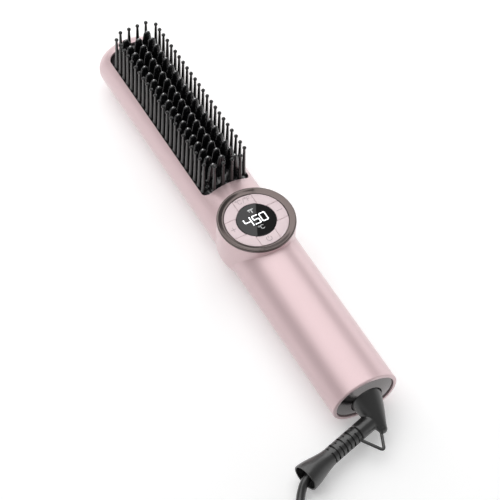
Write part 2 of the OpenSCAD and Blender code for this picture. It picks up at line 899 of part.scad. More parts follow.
module tact_switches() {
    color(silver) at_pod(board_top) for (a = key_turns)
        rotate(a) translate([key_mid_r, 0, 0]) {
            translate([-2.2, -2.2, 0]) cube([4.4, 4.4, switch_h]);
            cylinder(r = 1, h = plunger_top - board_top, $fn = 24);
        }
}

module board_screws() {
    color(silver) for (a = [45, 225])
        at_pod(board_top - board_t) rotate(a) translate([16.2, 0, 0]) {
            translate([0, 0, -1]) cylinder(r = 1.5, h = 1, $fn = 24);
            translate([0, 0, -eps]) cylinder(r = 0.65, h = board_t + 1.6, $fn = 24);
        }
}

// ---------------------------------------------------------------- electronics

module main_board() {
    color(board_green)
        block([main_board_x, main_board_y, main_board_top - main_board_t],
            [main_board_len, main_board_w, main_board_t]);
}

module transformer() {
    color([0.85, 0.75, 0.2]) {
        block([main_board_x + 30, -13.5, main_board_top], [15, 11, 11]);
        block([main_board_x + 33, -12.5, main_board_top + 11 - eps], [9, 9, 1.5]);
    }
}

module capacitors() {
    color([0.15, 0.15, 0.3]) {
        translate([main_board_x + 53, -8.5, main_board_top]) cylinder(r = 5, h = 13);
        translate([main_board_x + 62, -8.5, main_board_top]) cylinder(r = 3, h = 9);
    }
}

module relay() {
    color([0.1, 0.25, 0.55])
        block([main_board_x + 11, -13, main_board_top], [16, 10.5, 12]);
}

lead_y = [-8.2, -5.4];
lead_z = 12.5;
lead_r = 0.9;

module terminal_block() {
    color([0.2, 0.5, 0.3]) difference() {
        block([main_board_x + 1, -10.2, main_board_top], [6.5, 6.8, 7]);
        for (y = lead_y)
            translate([main_board_x, y, lead_z]) rotate([0, 90, 0])
                cylinder(r = lead_r + 0.1, h = 4, $fn = 24);
    }
}

module heater_leads() {
    color([0.8, 0.2, 0.15]) for (i = [0, 1]) {
        x = clamp_x + 66 + 8 * i;
        y = -element_w / 2 - 2.2 - 3.2 * (1 - i);
        tube_along([
            [x, -element_w / 2 + 0.4, element_z + 2], [x, y + 1.5, element_z + 2],
            [x + 0.5, y + 0.4, element_z + 1.6], [x + 1, y, element_z + 0.5],
            [x + 1, y, lead_z + 2], [x + 1.4, y, lead_z + 0.6], [x + 3, y, lead_z],
            [evaporator_x + evaporator_len + 1, lead_y[i], lead_z],
            [evaporator_x + evaporator_len + 3, lead_y[i], lead_z],
            [main_board_x + 3, lead_y[i], lead_z]
        ], lead_r, 8);
    }
}

module ribbon_cable() {
    ribbon_x = pod_x + 14;
    ribbon_w = 5;
    ribbon_y = -8.9;
    ribbon_z = 23.5;
    ribbon_end = main_board_x + 9.3;
    t = 0.5;
    color([0.85, 0.85, 0.85]) {
        block([ribbon_x, ribbon_y, ribbon_z], [t, ribbon_w, board_top - board_t - ribbon_z]);
        block([ribbon_x, ribbon_y, ribbon_z], [ribbon_end - ribbon_x, ribbon_w, t]);
        block([ribbon_end - t, ribbon_y, 12], [t, ribbon_w, ribbon_z - 12 + t]);
        block([ribbon_end - 1.4, ribbon_y, main_board_top], [2.4, ribbon_w, 3]);
    }
}

// ---------------------------------------------------------------- swivel

module on_axis(x) {
    translate([x, 0, axis_z]) rotate([0, 90, 0]) children();
}

module end_cap() {
    bore = elbow_root_r + elbow_gap;
    color([0.30, 0.30, 0.31]) difference() {
        union() {
            along(cap_x, cap_t) oval(wall + 0.1);
            on_axis(rim_x - cap_recess - eps)
                cylinder(r1 = half_h - wall - 0.6, r2 = bore + 0.5, h = cap_recess + cap_dome);
        }
        on_axis(cap_x + 1.5) cylinder(r = bore, h = 20);
        on_axis(cap_x - 1) cylinder(r = journal_r + 0.6, h = 20);
    }
}

module swivel_bush() {
    color([0.85, 0.85, 0.8]) difference() {
        union() {
            on_axis(bush_x) cylinder(r = journal_r + 3, h = bush_len);
            intersection() {
                block([bush_x, -half_w, axis_z - 6], [bush_len, body_w, 12]);
                along(bush_x - 1, bush_len + 2) oval(wall + 0.1);
            }
        }
        on_axis(bush_x - 1) cylinder(r = journal_r + journal_gap, h = 20);
    }
}

module swivel_clip() {
    color(silver) on_axis(clip_x) difference() {
        cylinder(r = journal_r + 2, h = clip_t);
        translate([0, 0, -1]) cylinder(r = journal_r, h = 10);
    }
}

module slip_rings() {
    color(brass) for (x = [0, 5]) on_axis(ring_x + x) difference() {
        cylinder(r = ring_out_r, h = 3);
        translate([0, 0, -1]) cylinder(r = neck_r, h = 10);
    }
}

module contact_block() {
    color([0.2, 0.2, 0.2]) intersection() {
        block([ring_x - 1, 7.6, 0], [10, 4.4, 25]);
        tube(frame_seat);
    }
}

module contact_springs() {
    color(brass) for (x = [0, 5])
        block([ring_x + x + 0.5, -2, axis_z + ring_out_r + 0.06], [2, 9.6, 0.4]);
}

module power_leads() {
    color([0.15, 0.15, 0.5]) for (x = [0, 5])
        wire([
            [ring_x + x + 1.5, 7.6, 14.5], [ring_x + x + 1.5, 6.4, 14.5],
            [ring_x + x + 1.5, 6.4, 6.6], [ring_x + x + 1.5, -3 - x * 0.6, 6.6],
            [main_board_x + main_board_len, -3 - x * 0.6, main_board_top - main_board_t / 2]
        ], 0.7);
}

// Frame of the strain relief: Z runs from the elbow's middle toward the mouth
module on_relief(s) {
    translate(elbow_mid) rotate([0, 0, relief_turn]) rotate([0, 90 + relief_dip, 0])
        translate([0, 0, s]) children();
}

function flare(u) = u * u * (3 - 2 * u);

module cord_elbow() {
    flare_from = relief_len - mouth_len;
    color(dark) {
        on_axis(clip_x - 0.1) cylinder(r = journal_r, h = elbow_face - clip_x);
        on_axis(ring_x - 2) cylinder(r = neck_r, h = clip_x - ring_x + 2);
        on_axis(cap_x + 2.2) cylinder(r = elbow_root_r, h = elbow_face - cap_x - 1.6);
        difference() {
            union() {
                hull() {
                    on_axis(elbow_face) cylinder(r = elbow_root_r, h = 0.6, $fn = 32);
                    translate(elbow_tip) sphere(elbow_tip_r, $fn = 24);
                }
                on_relief(0) rotate_extrude($fn = 48) polygon(concat(
                    [[0, 0], [relief_r, 0], [relief_r, flare_from]],
                    [for (i = [1 : 8]) [
                        relief_r + (mouth_r - relief_r) * flare(i / 8),
                        flare_from + mouth_len * i / 8
                    ]],
                    [[0, relief_len]]
                ));
            }
            on_relief(0) rotate_extrude($fn = 48) polygon(concat(
                [[0, relief_len - throat_depth]],
                [for (i = [0 : 6]) [
                    cord_r + 0.1 + (mouth_r - 1 - cord_r) * flare(i / 6),
                    relief_len - throat_depth + throat_depth * i / 6
                ]],
                [[0, relief_len + eps]]
            ));
            for (i = [0 : 3]) on_relief(groove_first + i * groove_pitch) {
                groove(165, 160);
                groove(345, 160);
            }
            for (i = [0 : 3]) on_relief(groove_first + (i + 0.5) * groove_pitch) {
                groove(75, 120);
                groove(255, 120);
            }
        }
    }
}

// One groove round part of the strain relief, about the direction a
module groove(a, span) {
    rotate([0, 0, a - span / 2]) rotate_extrude(angle = span, $fn = 48)
        translate([relief_r - groove_depth, -groove_w / 2]) square([3, groove_w]);
}

module hang_loop() {
    color(dark) wire([loop_start, loop_corner, loop_back], loop_wire_r);
}

// ---------------------------------------------------------------- mains lead

relief_dir = [
    cos(relief_dip) * cos(relief_turn), cos(relief_dip) * sin(relief_turn), -sin(relief_dip)
];
throat = elbow_mid + (relief_len - throat_depth) * relief_dir;

// Coil: the radius runs in and out at a steady rate, one layer for each run
coil_in_r = coil_out_r - coil_pitch * coil_turns / coil_layers;
layer_turns = coil_turns / coil_layers;

function coil_radius(t) =
    let (k = floor(t / layer_turns), f = t / layer_turns - k)
    k % 2 == 0 ? coil_out_r - (coil_out_r - coil_in_r) * f : coil_in_r + (coil_out_r - coil_in_r) * f;

function smooth(u) = u <= 0 ? 0 : u >= 1 ? 1 : u * u * (3 - 2 * u);

function coil_height(t) =
    cord_r + coil_pitch * (smooth((t - layer_turns) * 2 + 0.5)
        + smooth((t - 2 * layer_turns) * 2 + 0.5) + smooth((t - 3 * layer_turns) * 2 + 0.5));

function coil_point(t) = [
    coil_mid[0] + coil_radius(t) * cos(coil_start + 360 * t),
    coil_mid[1] + coil_radius(t) * sin(coil_start + 360 * t),
    coil_height(t)
];

function coil_heading(t) = [-sin(coil_start + 360 * t), cos(coil_start + 360 * t), 0];

coil_steps = round(coil_turns * 24);
coil_joint = 0.3;
coil_entry = coil_point(0) - cord_d * coil_heading(0);
coil_exit = coil_point(coil_turns) + cord_d * coil_heading(coil_turns);
coil_points = concat(
    [coil_entry],
    [for (i = [0 : coil_steps]) coil_point(i * coil_turns / coil_steps)],
    [coil_exit]
);

// Smooth curve through points, with given headings at both ends
function curve_part(a, b, c, d, u) =
    0.5 * (2 * b + (c - a) * u + (2 * a - 5 * b + 4 * c - d) * u * u
        + (3 * b - a - 3 * c + d) * u * u * u);

function curve(points, first, last, parts) =
    let (p = concat([points[0] - first], points, [points[len(points) - 1] + last]))
    concat(
        [for (i = [1 : len(p) - 3]) for (j = [0 : parts - 1])
            curve_part(p[i - 1], p[i], p[i + 1], p[i + 2], j / parts)],
        [points[len(points) - 1]]
    );

function unit(v) = v / norm(v);

// Tube along points: a ring of corners at each, square to the path
function heading_at(p, i) =
    unit(i == 0 ? p[1] - p[0] : i == len(p) - 1 ? p[i] - p[i - 1] : p[i + 1] - p[i - 1]);

function ring_at(p, i, r, sides) =
    let (h = heading_at(p, i), s = unit(cross(h, [0, 0, 1])), u = cross(s, h))
    [for (k = [0 : sides - 1])
        p[i] + r * (cos(360 * (k + 0.5) / sides) * s + sin(360 * (k + 0.5) / sides) * u)];

module tube_along(p, r, sides) {
    n = len(p);
    corners = [for (i = [0 : n - 1]) each ring_at(p, i, r, sides)];
    walls = [for (i = [0 : n - 2]) for (k = [0 : sides - 1])
        let (a = i * sides + k, b = i * sides + (k + 1) % sides)
        each [[a, b, b + sides], [a, b + sides, a + sides]]];
    start = [for (k = [1 : sides - 2]) [0, k + 1, k]];
    finish = [for (k = [1 : sides - 2])
        [(n - 1) * sides, (n - 1) * sides + k, (n - 1) * sides + k + 1]];
    polyhedron(corners, concat(walls, start, finish), convexity = 10);
}

lead_points = curve(
    concat([throat], lead_route, [coil_entry - coil_joint * coil_heading(0)]),
    6 * relief_dir, 8 * coil_heading(0), 3
);

plug_thick = 11;
plug_w = 16;
plug_len = 24;
plug_neck = 14;
tail_route = [
    [240.8, -117.4, 17.2], [251.8, -111.3, 12.8], [260.6, -101.6, 8.6], [265.6, -90.4, 6.2]
];
plug_at = [267.6, -76, plug_thick / 2];
plug_turn = 88;
plug_dir = [cos(plug_turn), sin(plug_turn), 0];
tail_points = curve(
    concat([coil_exit + coil_joint * coil_heading(coil_turns)], tail_route, [plug_at]),
    8 * coil_heading(coil_turns), 8 * plug_dir, 3
);

module cord_lead() {
    color(dark) tube_along(lead_points, cord_r, 8);
}

module cord_coil() {
    color(dark) tube_along(coil_points, cord_r, 6);
}

module cord_tail() {
    color(dark) tube_along(tail_points, cord_r, 8);
}

module on_plug() {
    translate(plug_at) rotate([0, 0, plug_turn]) children();
}

module plug_body() {
    color(dark) on_plug() {
        rotate([0, 90, 0]) cylinder(r1 = cord_r + 1, r2 = plug_thick / 2 - 0.6, h = plug_neck, $fn = 48);
        intersection() {
            translate([plug_neck - 4, 0, 0]) rotate([90, 0, 0]) translate([0, 0, -plug_w / 2])
                linear_extrude(plug_w) {
                    translate([0, -plug_thick / 2 + 2]) square([plug_len, plug_thick - 4]);
                    translate([2, -plug_thick / 2]) square([plug_len - 4, plug_thick]);
                    for (x = [2, plug_len - 2])
                        for (z = [-plug_thick / 2 + 2, plug_thick / 2 - 2])
                            translate([x, z]) circle(2, $fn = 32);
                }
            translate([plug_neck - 4, 0, -plug_thick]) linear_extrude(2 * plug_thick) {
                translate([0, -plug_w / 2 + 4]) square([plug_len, plug_w - 8]);
                translate([4, -plug_w / 2]) square([plug_len - 4, plug_w]);
                for (side = [-1, 1]) translate([4, side * (plug_w / 2 - 4)]) circle(4);
            }
        }
    }
}

module plug_blades() {
    blade_x = plug_neck - 4 + plug_len;
    color(silver) on_plug() for (side = [-1, 1])
        difference() {
            translate([blade_x, side * 6.35 - 0.75, -3.2]) cube([16, 1.5, 6.4]);
            translate([blade_x + 12, side * 6.35, 0]) rotate([90, 0, 0])
                cylinder(r = 1.6, h = 4, center = true, $fn = 24);
        }
}

// Least gap of the coil's tube to itself, measured on its centre-line points
coil_gap = min([for (i = [0 : 4 : len(coil_points) - 1])
    min([for (j = [0 : len(coil_points) - 1])
        if (abs(i - j) > 6) norm(coil_points[i] - coil_points[j])])]) - cord_d;
echo(coil_gap = coil_gap);

front_shell();
back_shell();
shell_screws();
bristle_frame();
heater_plate();
heating_elements();
element_clamp();
clamp_screws();
mica_sheet();
thermistor();
thermal_fuse();
evaporator();
water_tube();
pump();
tank_tube();
water_tank();
filler_seal();
filler_plug();
bezel_ring();
key_ring();
key_power();
key_mode();
key_plus();
key_minus();
display_lens();
display_module();
display_board();
tact_switches();
board_screws();
main_board();
transformer();
capacitors();
relay();
terminal_block();
ribbon_cable();
heater_leads();
power_leads();
end_cap();
swivel_bush();
swivel_clip();
slip_rings();
contact_block();
contact_springs();
cord_elbow();
hang_loop();
cord_lead();
cord_coil();
cord_tail();
plug_body();
plug_blades();
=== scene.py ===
"""Heated straightening brush: surfaces, cord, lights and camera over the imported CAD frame.

Sizes are in millimetres in the text and turned into metres by MM. Places follow the CAD frame:
+X toward the cord, +Y across, +Z up out of the bristles, the table at Z = 0.
"""
import math

import bmesh
import bpy
from mathutils import Matrix, Vector


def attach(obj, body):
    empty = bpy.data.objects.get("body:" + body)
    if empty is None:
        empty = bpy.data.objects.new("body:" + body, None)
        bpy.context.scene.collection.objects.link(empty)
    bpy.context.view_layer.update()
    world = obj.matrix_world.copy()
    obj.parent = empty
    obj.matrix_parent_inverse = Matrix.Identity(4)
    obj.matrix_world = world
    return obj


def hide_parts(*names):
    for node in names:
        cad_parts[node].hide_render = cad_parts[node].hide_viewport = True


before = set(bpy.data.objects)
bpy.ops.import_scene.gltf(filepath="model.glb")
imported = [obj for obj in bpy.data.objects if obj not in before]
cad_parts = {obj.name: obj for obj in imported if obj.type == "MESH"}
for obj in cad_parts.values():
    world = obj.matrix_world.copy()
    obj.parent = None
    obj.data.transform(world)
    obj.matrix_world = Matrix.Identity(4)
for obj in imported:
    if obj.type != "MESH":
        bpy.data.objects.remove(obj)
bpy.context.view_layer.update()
MM = 0.001
TAU = 2 * math.pi

# ------------------------------------------------------------------ sizes
BODY_LEN, CAP_DOME = 290.0, 1.4
NOSE_X = -(BODY_LEN + CAP_DOME) / 2
RIM_X = NOSE_X + BODY_LEN
HALF_W, HALF_H, SIDE_R, AXIS_Z, WALL = 20.7, 17.1, 15.4, 16.7, 2.2
TOP_R = (HALF_W**2 + HALF_H**2 - 2 * HALF_W * SIDE_R) / (2 * (HALF_H - SIDE_R))
SIDE_C, TOP_C = HALF_W - SIDE_R, TOP_R - HALF_H
ARC = math.atan2(TOP_C, SIDE_C)
NOSE_LEN, NOSE_INSET, NOSE_STEPS = 11.0, 13.0, 14
SIDE_STEPS, TOP_STEPS = 44, 36
SEAM_Z, SEAM_GAP, RIM_ROUND = 9.0, 0.06, 0.7
OPEN_X, OPEN_END, OPEN_W, OPEN_R = NOSE_X + 10.7, NOSE_X + 133.8, 31.0, 4.0
BED_DROP, FRAME_T = 1.4, 2.7
PIN_X, PIN_PITCH, PIN_COUNT, PIN_Y, PIN_TOP = OPEN_X + 8.5, 4.96, 23, 13.46, 53.75
PIN_ROOT_R, PIN_NECK_R, PIN_BALL_R = 1.3, 0.74, 1.2
END_STEP, END_PITCH, PLATE_STEP = 4.0, 5.8, 0.2
TOOTH_PITCH, TOOTH_COUNT, TOOTH_Y, TOOTH_TOP = 6.03, 19, 7.3, 49.7
POD_X, POD_R, POD_BOWL, POD_TOP, POD_BORE = NOSE_X + 167.0, 23.2, 15.4, 36.2, 21.0
BEZEL_TOP, BEZEL_IN, BEZEL_DISH = 37.8, 19.0, 1.0
KEY_OUT, KEY_IN, KEY_TOP, KEY_T, KEY_W, KEY_GAP = 18.8, 11.8, 36.7, 1.8, 12.6, 0.2
KEY_EDGE, STEM_R = 0.12, 1.8
LENS_R, LENS_TOP = 11.6, 36.8
FILLER_X, FILLER_Y, FILLER_Z, FILLER_R = 60.3, 18.9, 15.4, 5.5
CORD_R = 2.5
FLOOR_LIFT = 0.25


# ------------------------------------------------------------------ mesh helpers
def new_object(name, mesh):
    obj = bpy.data.objects.new(name, mesh)
    bpy.context.scene.collection.objects.link(obj)
    return obj


def mesh_object(name, verts, faces, sharp=35.0):
    """An object in metres from points in millimetres, smooth except at edges over the angle."""
    mesh = bpy.data.meshes.new(name)
    mesh.from_pydata([Vector(v) * MM for v in verts], [], faces)
    obj = new_object(name, mesh)
    finish_mesh(obj, sharp)
    return obj


def finish_mesh(obj, sharp=35.0):
    bm = bmesh.new()
    bm.from_mesh(obj.data)
    bmesh.ops.remove_doubles(bm, verts=bm.verts, dist=1e-7)
    bmesh.ops.recalc_face_normals(bm, faces=bm.faces)
    bm.to_mesh(obj.data)
    bm.free()
    obj.data.shade_smooth()
    if sharp < 180:
        obj.data.set_sharp_from_angle(angle=math.radians(sharp))


def loft(rings, capped=True):
    """Points and faces of a skin over rings with the same number of points."""
    n = len(rings[0])
    verts = [p for ring in rings for p in ring]
    faces = []
    for i in range(len(rings) - 1):
        for k in range(n):
            a, b = i * n + k, i * n + (k + 1) % n
            faces.append((a, b, b + n, a + n))
    if capped:
        faces.append(tuple(reversed(range(n))))
        faces.append(tuple(range((len(rings) - 1) * n, len(rings) * n)))
    return verts, faces


def ease(u):
    """Smooth step from 0 to 1."""
    return u * u * (3 - 2 * u)


def circle(n):
    """Cosine and sine of n even steps round a circle."""
    return [(math.cos(TAU * k / n), math.sin(TAU * k / n)) for k in range(n)]


def squircle(n, power):
    """As circle, drawn out toward four corners; a power of 2 gives the circle."""
    return [[math.copysign(abs(v) ** (2 / power), v) for v in point] for point in circle(n)]


def revolve(profile, steps, place, closed=False):
    """Turns (radius, height) points about Z and moves the result by place."""
    verts, faces = [], []
    m = len(profile)
    for c, s in circle(steps):
        for r, z in profile:
            verts.append(place @ Vector((r * c, r * s, z)))
    for k in range(steps):
        a, b = k * m, ((k + 1) % steps) * m
        for i in range(m if closed else m - 1):
            j = (i + 1) % m
            faces.append((a + i, b + i, b + j, a + j))
    return verts, faces


def prism(outline, z1, z2):
    return loft([[(x, y, z1) for x, y in outline], [(x, y, z2) for x, y in outline]])


def apply_modifiers(obj):
    """Replaces the object's mesh by its evaluated one and drops the modifiers."""
    graph = bpy.context.evaluated_depsgraph_get()
    mesh = bpy.data.meshes.new_from_object(obj.evaluated_get(graph), depsgraph=graph)
    old = obj.data
    obj.modifiers.clear()
    obj.data = mesh
    bpy.data.meshes.remove(old)


def boolean(obj, others, operation):
    for other in others:
        mod = obj.modifiers.new("cut", "BOOLEAN")
        mod.operation, mod.object, mod.solver = operation, other, "EXACT"
        apply_modifiers(obj)
        bpy.data.objects.remove(other)
    return obj


def bevel(obj, width, segments, angle, sharp):
    mod = obj.modifiers.new("bevel", "BEVEL")
    mod.width, mod.segments = width * MM, segments
    mod.limit_method, mod.angle_limit = "ANGLE", math.radians(angle)
    mod.use_clamp_overlap = True
    apply_modifiers(obj)
    obj.data.shade_smooth()
    obj.data.set_sharp_from_angle(angle=math.radians(sharp))
    return obj


def merge(name, parts, sharp):
    """One object from several lists of points and faces."""
    verts, faces = [], []
    for v, f in parts:
        base = len(verts)
        verts += list(v)
        faces += [tuple(base + i for i in face) for face in f]
    return mesh_object(name, verts, faces, sharp)


def arc(cx, cy, r, a1, a2, n):
    """Points of an arc from a1 to a2 radians, both ends included."""
    angles = [a1 + (a2 - a1) * i / n for i in range(n + 1)]
    return [(cx + r * math.cos(a), cy + r * math.sin(a)) for a in angles]


def rounded_rect(x1, x2, w, r):
    q, y = math.pi / 2, w / 2 - r
    centres = [(x2 - r, y), (x1 + r, y), (x1 + r, -y), (x2 - r, -y)]
    return [p for i, centre in enumerate(centres) for p in arc(*centre, r, i * q, (i + 1) * q, 8)]


def oval_ring(x, inset):
    """Corners of the housing section at x, offset inwards."""
    side, top = SIDE_R - inset, TOP_R - inset
    a, pi = ARC, math.pi
    ring = (
        arc(SIDE_C, 0, side, -a, a, SIDE_STEPS)[:-1]
        + arc(0, -TOP_C, top, a, pi - a, TOP_STEPS)[:-1]
        + arc(-SIDE_C, 0, side, pi - a, pi + a, SIDE_STEPS)[:-1]
        + arc(0, TOP_C, top, pi + a, 2 * pi - a, TOP_STEPS)[:-1]
    )
    return [(x, y, AXIS_Z + z) for y, z in ring]


def oval_top(y, inset):
    """Height of the housing's upper surface, offset inwards, at y."""
    x_t = (TOP_R - inset) * math.cos(ARC)
    if abs(y) <= x_t:
        return AXIS_Z - TOP_C + math.sqrt((TOP_R - inset) ** 2 - y * y)
    return AXIS_Z + math.sqrt(max(0.0, (SIDE_R - inset) ** 2 - (abs(y) - SIDE_C) ** 2))


def housing_rings(inset, end_x=RIM_X, end_round=0.0):
    """Sections of the housing from its nose to end_x, offset inwards."""
    rings = []
    for i in range(NOSE_STEPS, -1, -1):
        a = math.pi / 2 * i / NOSE_STEPS
        rings.append(oval_ring(
            NOSE_X + inset + (NOSE_LEN - inset) * (1 - math.sin(a)),
            inset + (NOSE_INSET - inset) * (1 - math.cos(a))))
    if end_round:
        for i in range(6):
            a = math.pi / 2 * i / 5
            rings.append(oval_ring(end_x - end_round * (1 - math.sin(a)),
                                   inset + end_round * (1 - math.cos(a))))
    else:
        rings.append(oval_ring(end_x, inset))
    return rings


# ------------------------------------------------------------------ materials
def link(tree, a, b):
    tree.links.new(a, b)


def material(name, color, rough=0.4, metal=0.0, *, tint=0.06, rough_var=0.06, scale=900.0,
             bump=0.02, bump_scale=2500.0, coat=0.0, coat_rough=0.1, specular=0.5,
             transmission=0.0, stretch=(1, 1, 1)):
    """Moulded or coated surface: fine noise varies its colour, roughness and surface."""
    mat = bpy.data.materials.new(name)
    mat.use_nodes = True
    tree = mat.node_tree
    bsdf = tree.nodes["Principled BSDF"]
    coord = tree.nodes.new("ShaderNodeTexCoord")
    mapping = tree.nodes.new("ShaderNodeMapping")
    mapping.inputs["Scale"].default_value = stretch
    link(tree, coord.outputs["Object"], mapping.inputs["Vector"])
    cloud = tree.nodes.new("ShaderNodeTexNoise")
    cloud.inputs["Scale"].default_value = scale
    cloud.inputs["Detail"].default_value = 4
    link(tree, mapping.outputs["Vector"], cloud.inputs["Vector"])
    ramp = tree.nodes.new("ShaderNodeValToRGB")
    low, high = ramp.color_ramp.elements
    low.position, high.position = 0.3, 0.7
    low.color = [c * (1 - tint) for c in color] + [1]
    high.color = [min(1, c * (1 + tint)) for c in color] + [1]
    link(tree, cloud.outputs["Fac"], ramp.inputs["Fac"])
    link(tree, ramp.outputs["Color"], bsdf.inputs["Base Color"])
    span = tree.nodes.new("ShaderNodeMapRange")
    span.inputs["To Min"].default_value = max(0.0, rough - rough_var)
    span.inputs["To Max"].default_value = rough + rough_var
    link(tree, cloud.outputs["Fac"], span.inputs["Value"])
    link(tree, span.outputs["Result"], bsdf.inputs["Roughness"])
    if bump:
        grain = tree.nodes.new("ShaderNodeTexNoise")
        grain.inputs["Scale"].default_value = bump_scale
        grain.inputs["Detail"].default_value = 2
        link(tree, mapping.outputs["Vector"], grain.inputs["Vector"])
        bumps = tree.nodes.new("ShaderNodeBump")
        bumps.inputs["Strength"].default_value = bump
        bumps.inputs["Distance"].default_value = 0.0001
        link(tree, grain.outputs["Fac"], bumps.inputs["Height"])
        link(tree, bumps.outputs["Normal"], bsdf.inputs["Normal"])
    bsdf.inputs["Metallic"].default_value = metal
    bsdf.inputs["Coat Weight"].default_value = coat
    bsdf.inputs["Coat Roughness"].default_value = coat_rough
    bsdf.inputs["Specular IOR Level"].default_value = specular
    bsdf.inputs["Transmission Weight"].default_value = transmission
    return mat


ROSE = (0.77, 0.57, 0.59)
MATS = {
    "rose": material("rose_metallic", ROSE, 0.38, 0.34, tint=0.04, scale=3500, bump=0.012,
                     bump_scale=9000, coat=0.7, coat_rough=0.3, specular=0.7),
    "rose_keys": material("rose_keys", (0.80, 0.66, 0.68), 0.45, 0.1, tint=0.03, scale=3500,
                          bump=0.02, bump_scale=9000),
    "black_gloss": material("black_gloss", (0.010, 0.010, 0.011), 0.12, tint=0.25, scale=300,
                            rough_var=0.05, bump=0.03, bump_scale=1200, coat=0.5, coat_rough=0.08),
    "black_pin": material("black_pin", (0.014, 0.014, 0.014), 0.24, tint=0.25, scale=400,
                          rough_var=0.05, bump=0.03, bump_scale=1500, coat=0.4, coat_rough=0.15),
    "gunmetal": material("gunmetal", (0.14, 0.115, 0.11), 0.14, 1.0, tint=0.03, scale=1200,
                         rough_var=0.02, bump=0.0),
    "cap_metal": material("cap_metal", (0.20, 0.19, 0.19), 0.16, 1.0, tint=0.02, scale=3000,
                          rough_var=0.02, bump=0.0),
    "crown": material("polished_crown", (0.50, 0.50, 0.50), 0.22, 1.0, tint=0.02, bump=0.0),
    "lens": material("lens_glass", (0.002, 0.002, 0.002), 0.005, tint=0.1, rough_var=0.0,
                     bump=0.0),
    "rubber": material("cord_rubber", (0.016, 0.016, 0.016), 0.32, tint=0.1, scale=2500,
                       rough_var=0.03, bump=0.01, bump_scale=5000, specular=0.8, coat=0.3,
                       coat_rough=0.22),
    "mark": material("key_mark", (0.30, 0.23, 0.24), 0.6, tint=0.08, scale=2000, bump=0.02),
    "steel": material("steel", (0.62, 0.62, 0.64), 0.3, 1.0, scale=800, bump=0.04,
                      stretch=(0.2, 1, 1)),
    "aluminium": material("aluminium", (0.70, 0.70, 0.72), 0.38, 1.0, scale=600, bump=0.05),
    "brass": material("brass", (0.75, 0.55, 0.25), 0.3, 1.0, scale=900, bump=0.03),
    "board": material("circuit_board", (0.03, 0.16, 0.07), 0.4, tint=0.3, scale=250, bump=0.1,
                      bump_scale=500, coat=0.3),
    "plastic": material("inner_plastic", (0.10, 0.10, 0.11), 0.55, tint=0.12, scale=500, bump=0.08),
    "clear": material("soft_tube", (0.65, 0.67, 0.70), 0.3, tint=0.05, scale=400, bump=0.03,
                      transmission=0.3),
    "sleeve": material("lead_sleeve", (0.45, 0.08, 0.06), 0.5, tint=0.1, scale=600, bump=0.05),
    "mica": material("mica", (0.55, 0.45, 0.30), 0.45, tint=0.2, scale=200, bump=0.1,
                     bump_scale=400),
}


def glow_material(name, color, strength):
    """Lit segments of the display."""
    mat = material(name, color, 0.5, tint=0.03, bump=0.0)
    bsdf = mat.node_tree.nodes["Principled BSDF"]
    bsdf.inputs["Emission Color"].default_value = (*color, 1)
    bsdf.inputs["Emission Strength"].default_value = strength
    return mat


MATS["digit"] = glow_material("lit_segment", (0.9, 0.92, 0.93), 0.75)
MATS["unit"] = glow_material("lit_unit", (0.5, 0.51, 0.51), 0.42)


def dress(obj, mat, body, nodes=()):
    """Gives a new piece its finish and its body, and hides the CAD solids it stands for."""
    obj.data.materials.clear()
    obj.data.materials.append(MATS[mat])
    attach(obj, body)
    if nodes:
        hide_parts(*nodes)
    return obj


# ------------------------------------------------------------------ camera
view_right = Vector((0.495405, 0.868112, 0.030919))
view_up = Vector((-0.713091, 0.386097, 0.585176))
view_back = Vector((0.496060, -0.311947, 0.810317))
cam_data = bpy.data.cameras.new("camera")
cam_data.sensor_width = 36.0
cam_data.lens = 150.83
cam_data.clip_end = 10.0
camera = new_object("camera", cam_data)
turn = Matrix((view_right, view_up, view_back)).transposed().to_4x4()
camera.matrix_world = Matrix.Translation(Vector((0.63178, -0.387218, 1.006348))) @ turn
bpy.context.scene.camera = camera


# ------------------------------------------------------------------ cord
ELBOW_FACE = RIM_X + CAP_DOME
RELIEF_ROOT = Vector((ELBOW_FACE + 9.9, 0, AXIS_Z - 4.9))
RELIEF_TURN, RELIEF_DIP = math.radians(-75.8), math.radians(2.7)
RELIEF_LEN, THROAT_DEPTH = 54.7, 14.0


def relief_place(s):
    """Place at s along the strain relief: Z runs toward its mouth, X roughly down."""
    rot = (Matrix.Rotation(RELIEF_TURN, 4, "Z")
           @ Matrix.Rotation(math.pi / 2 + RELIEF_DIP, 4, "Y"))
    return Matrix.Translation(RELIEF_ROOT) @ rot @ Matrix.Translation((0, 0, s))


relief_dir = (relief_place(1).translation - relief_place(0).translation).normalized()
throat = relief_place(RELIEF_LEN - THROAT_DEPTH).translation
COIL_MID, COIL_OUT, COIL_PITCH, COIL_TURNS, COIL_START = (225.0, -82.0), 35.5, 5.6, 9.2, 198.0
COIL_LAYERS = 4
LAYER_TURNS = COIL_TURNS / COIL_LAYERS
COIL_IN = COIL_OUT - COIL_PITCH * LAYER_TURNS


def coil_point(t):
    """Middle of the cord after t turns: it winds in, then out, one layer over the other."""
    layer = min(COIL_LAYERS - 1, math.floor(t / LAYER_TURNS))
    f = t / LAYER_TURNS - layer
    start, end = (COIL_IN, COIL_OUT) if layer % 2 else (COIL_OUT, COIL_IN)
    r = start + (end - start) * f
    height = CORD_R
    for step in range(1, COIL_LAYERS):
        height += COIL_PITCH * ease(min(1.0, max(0.0, (t - step * LAYER_TURNS) * 2 + 0.5)))
    a = math.radians(COIL_START + 360 * t)
    return Vector((COIL_MID[0] + r * math.cos(a), COIL_MID[1] + r * math.sin(a), height))


def coil_heading(t):
    a = math.radians(COIL_START + 360 * t)
    return Vector((-math.sin(a), math.cos(a), 0))


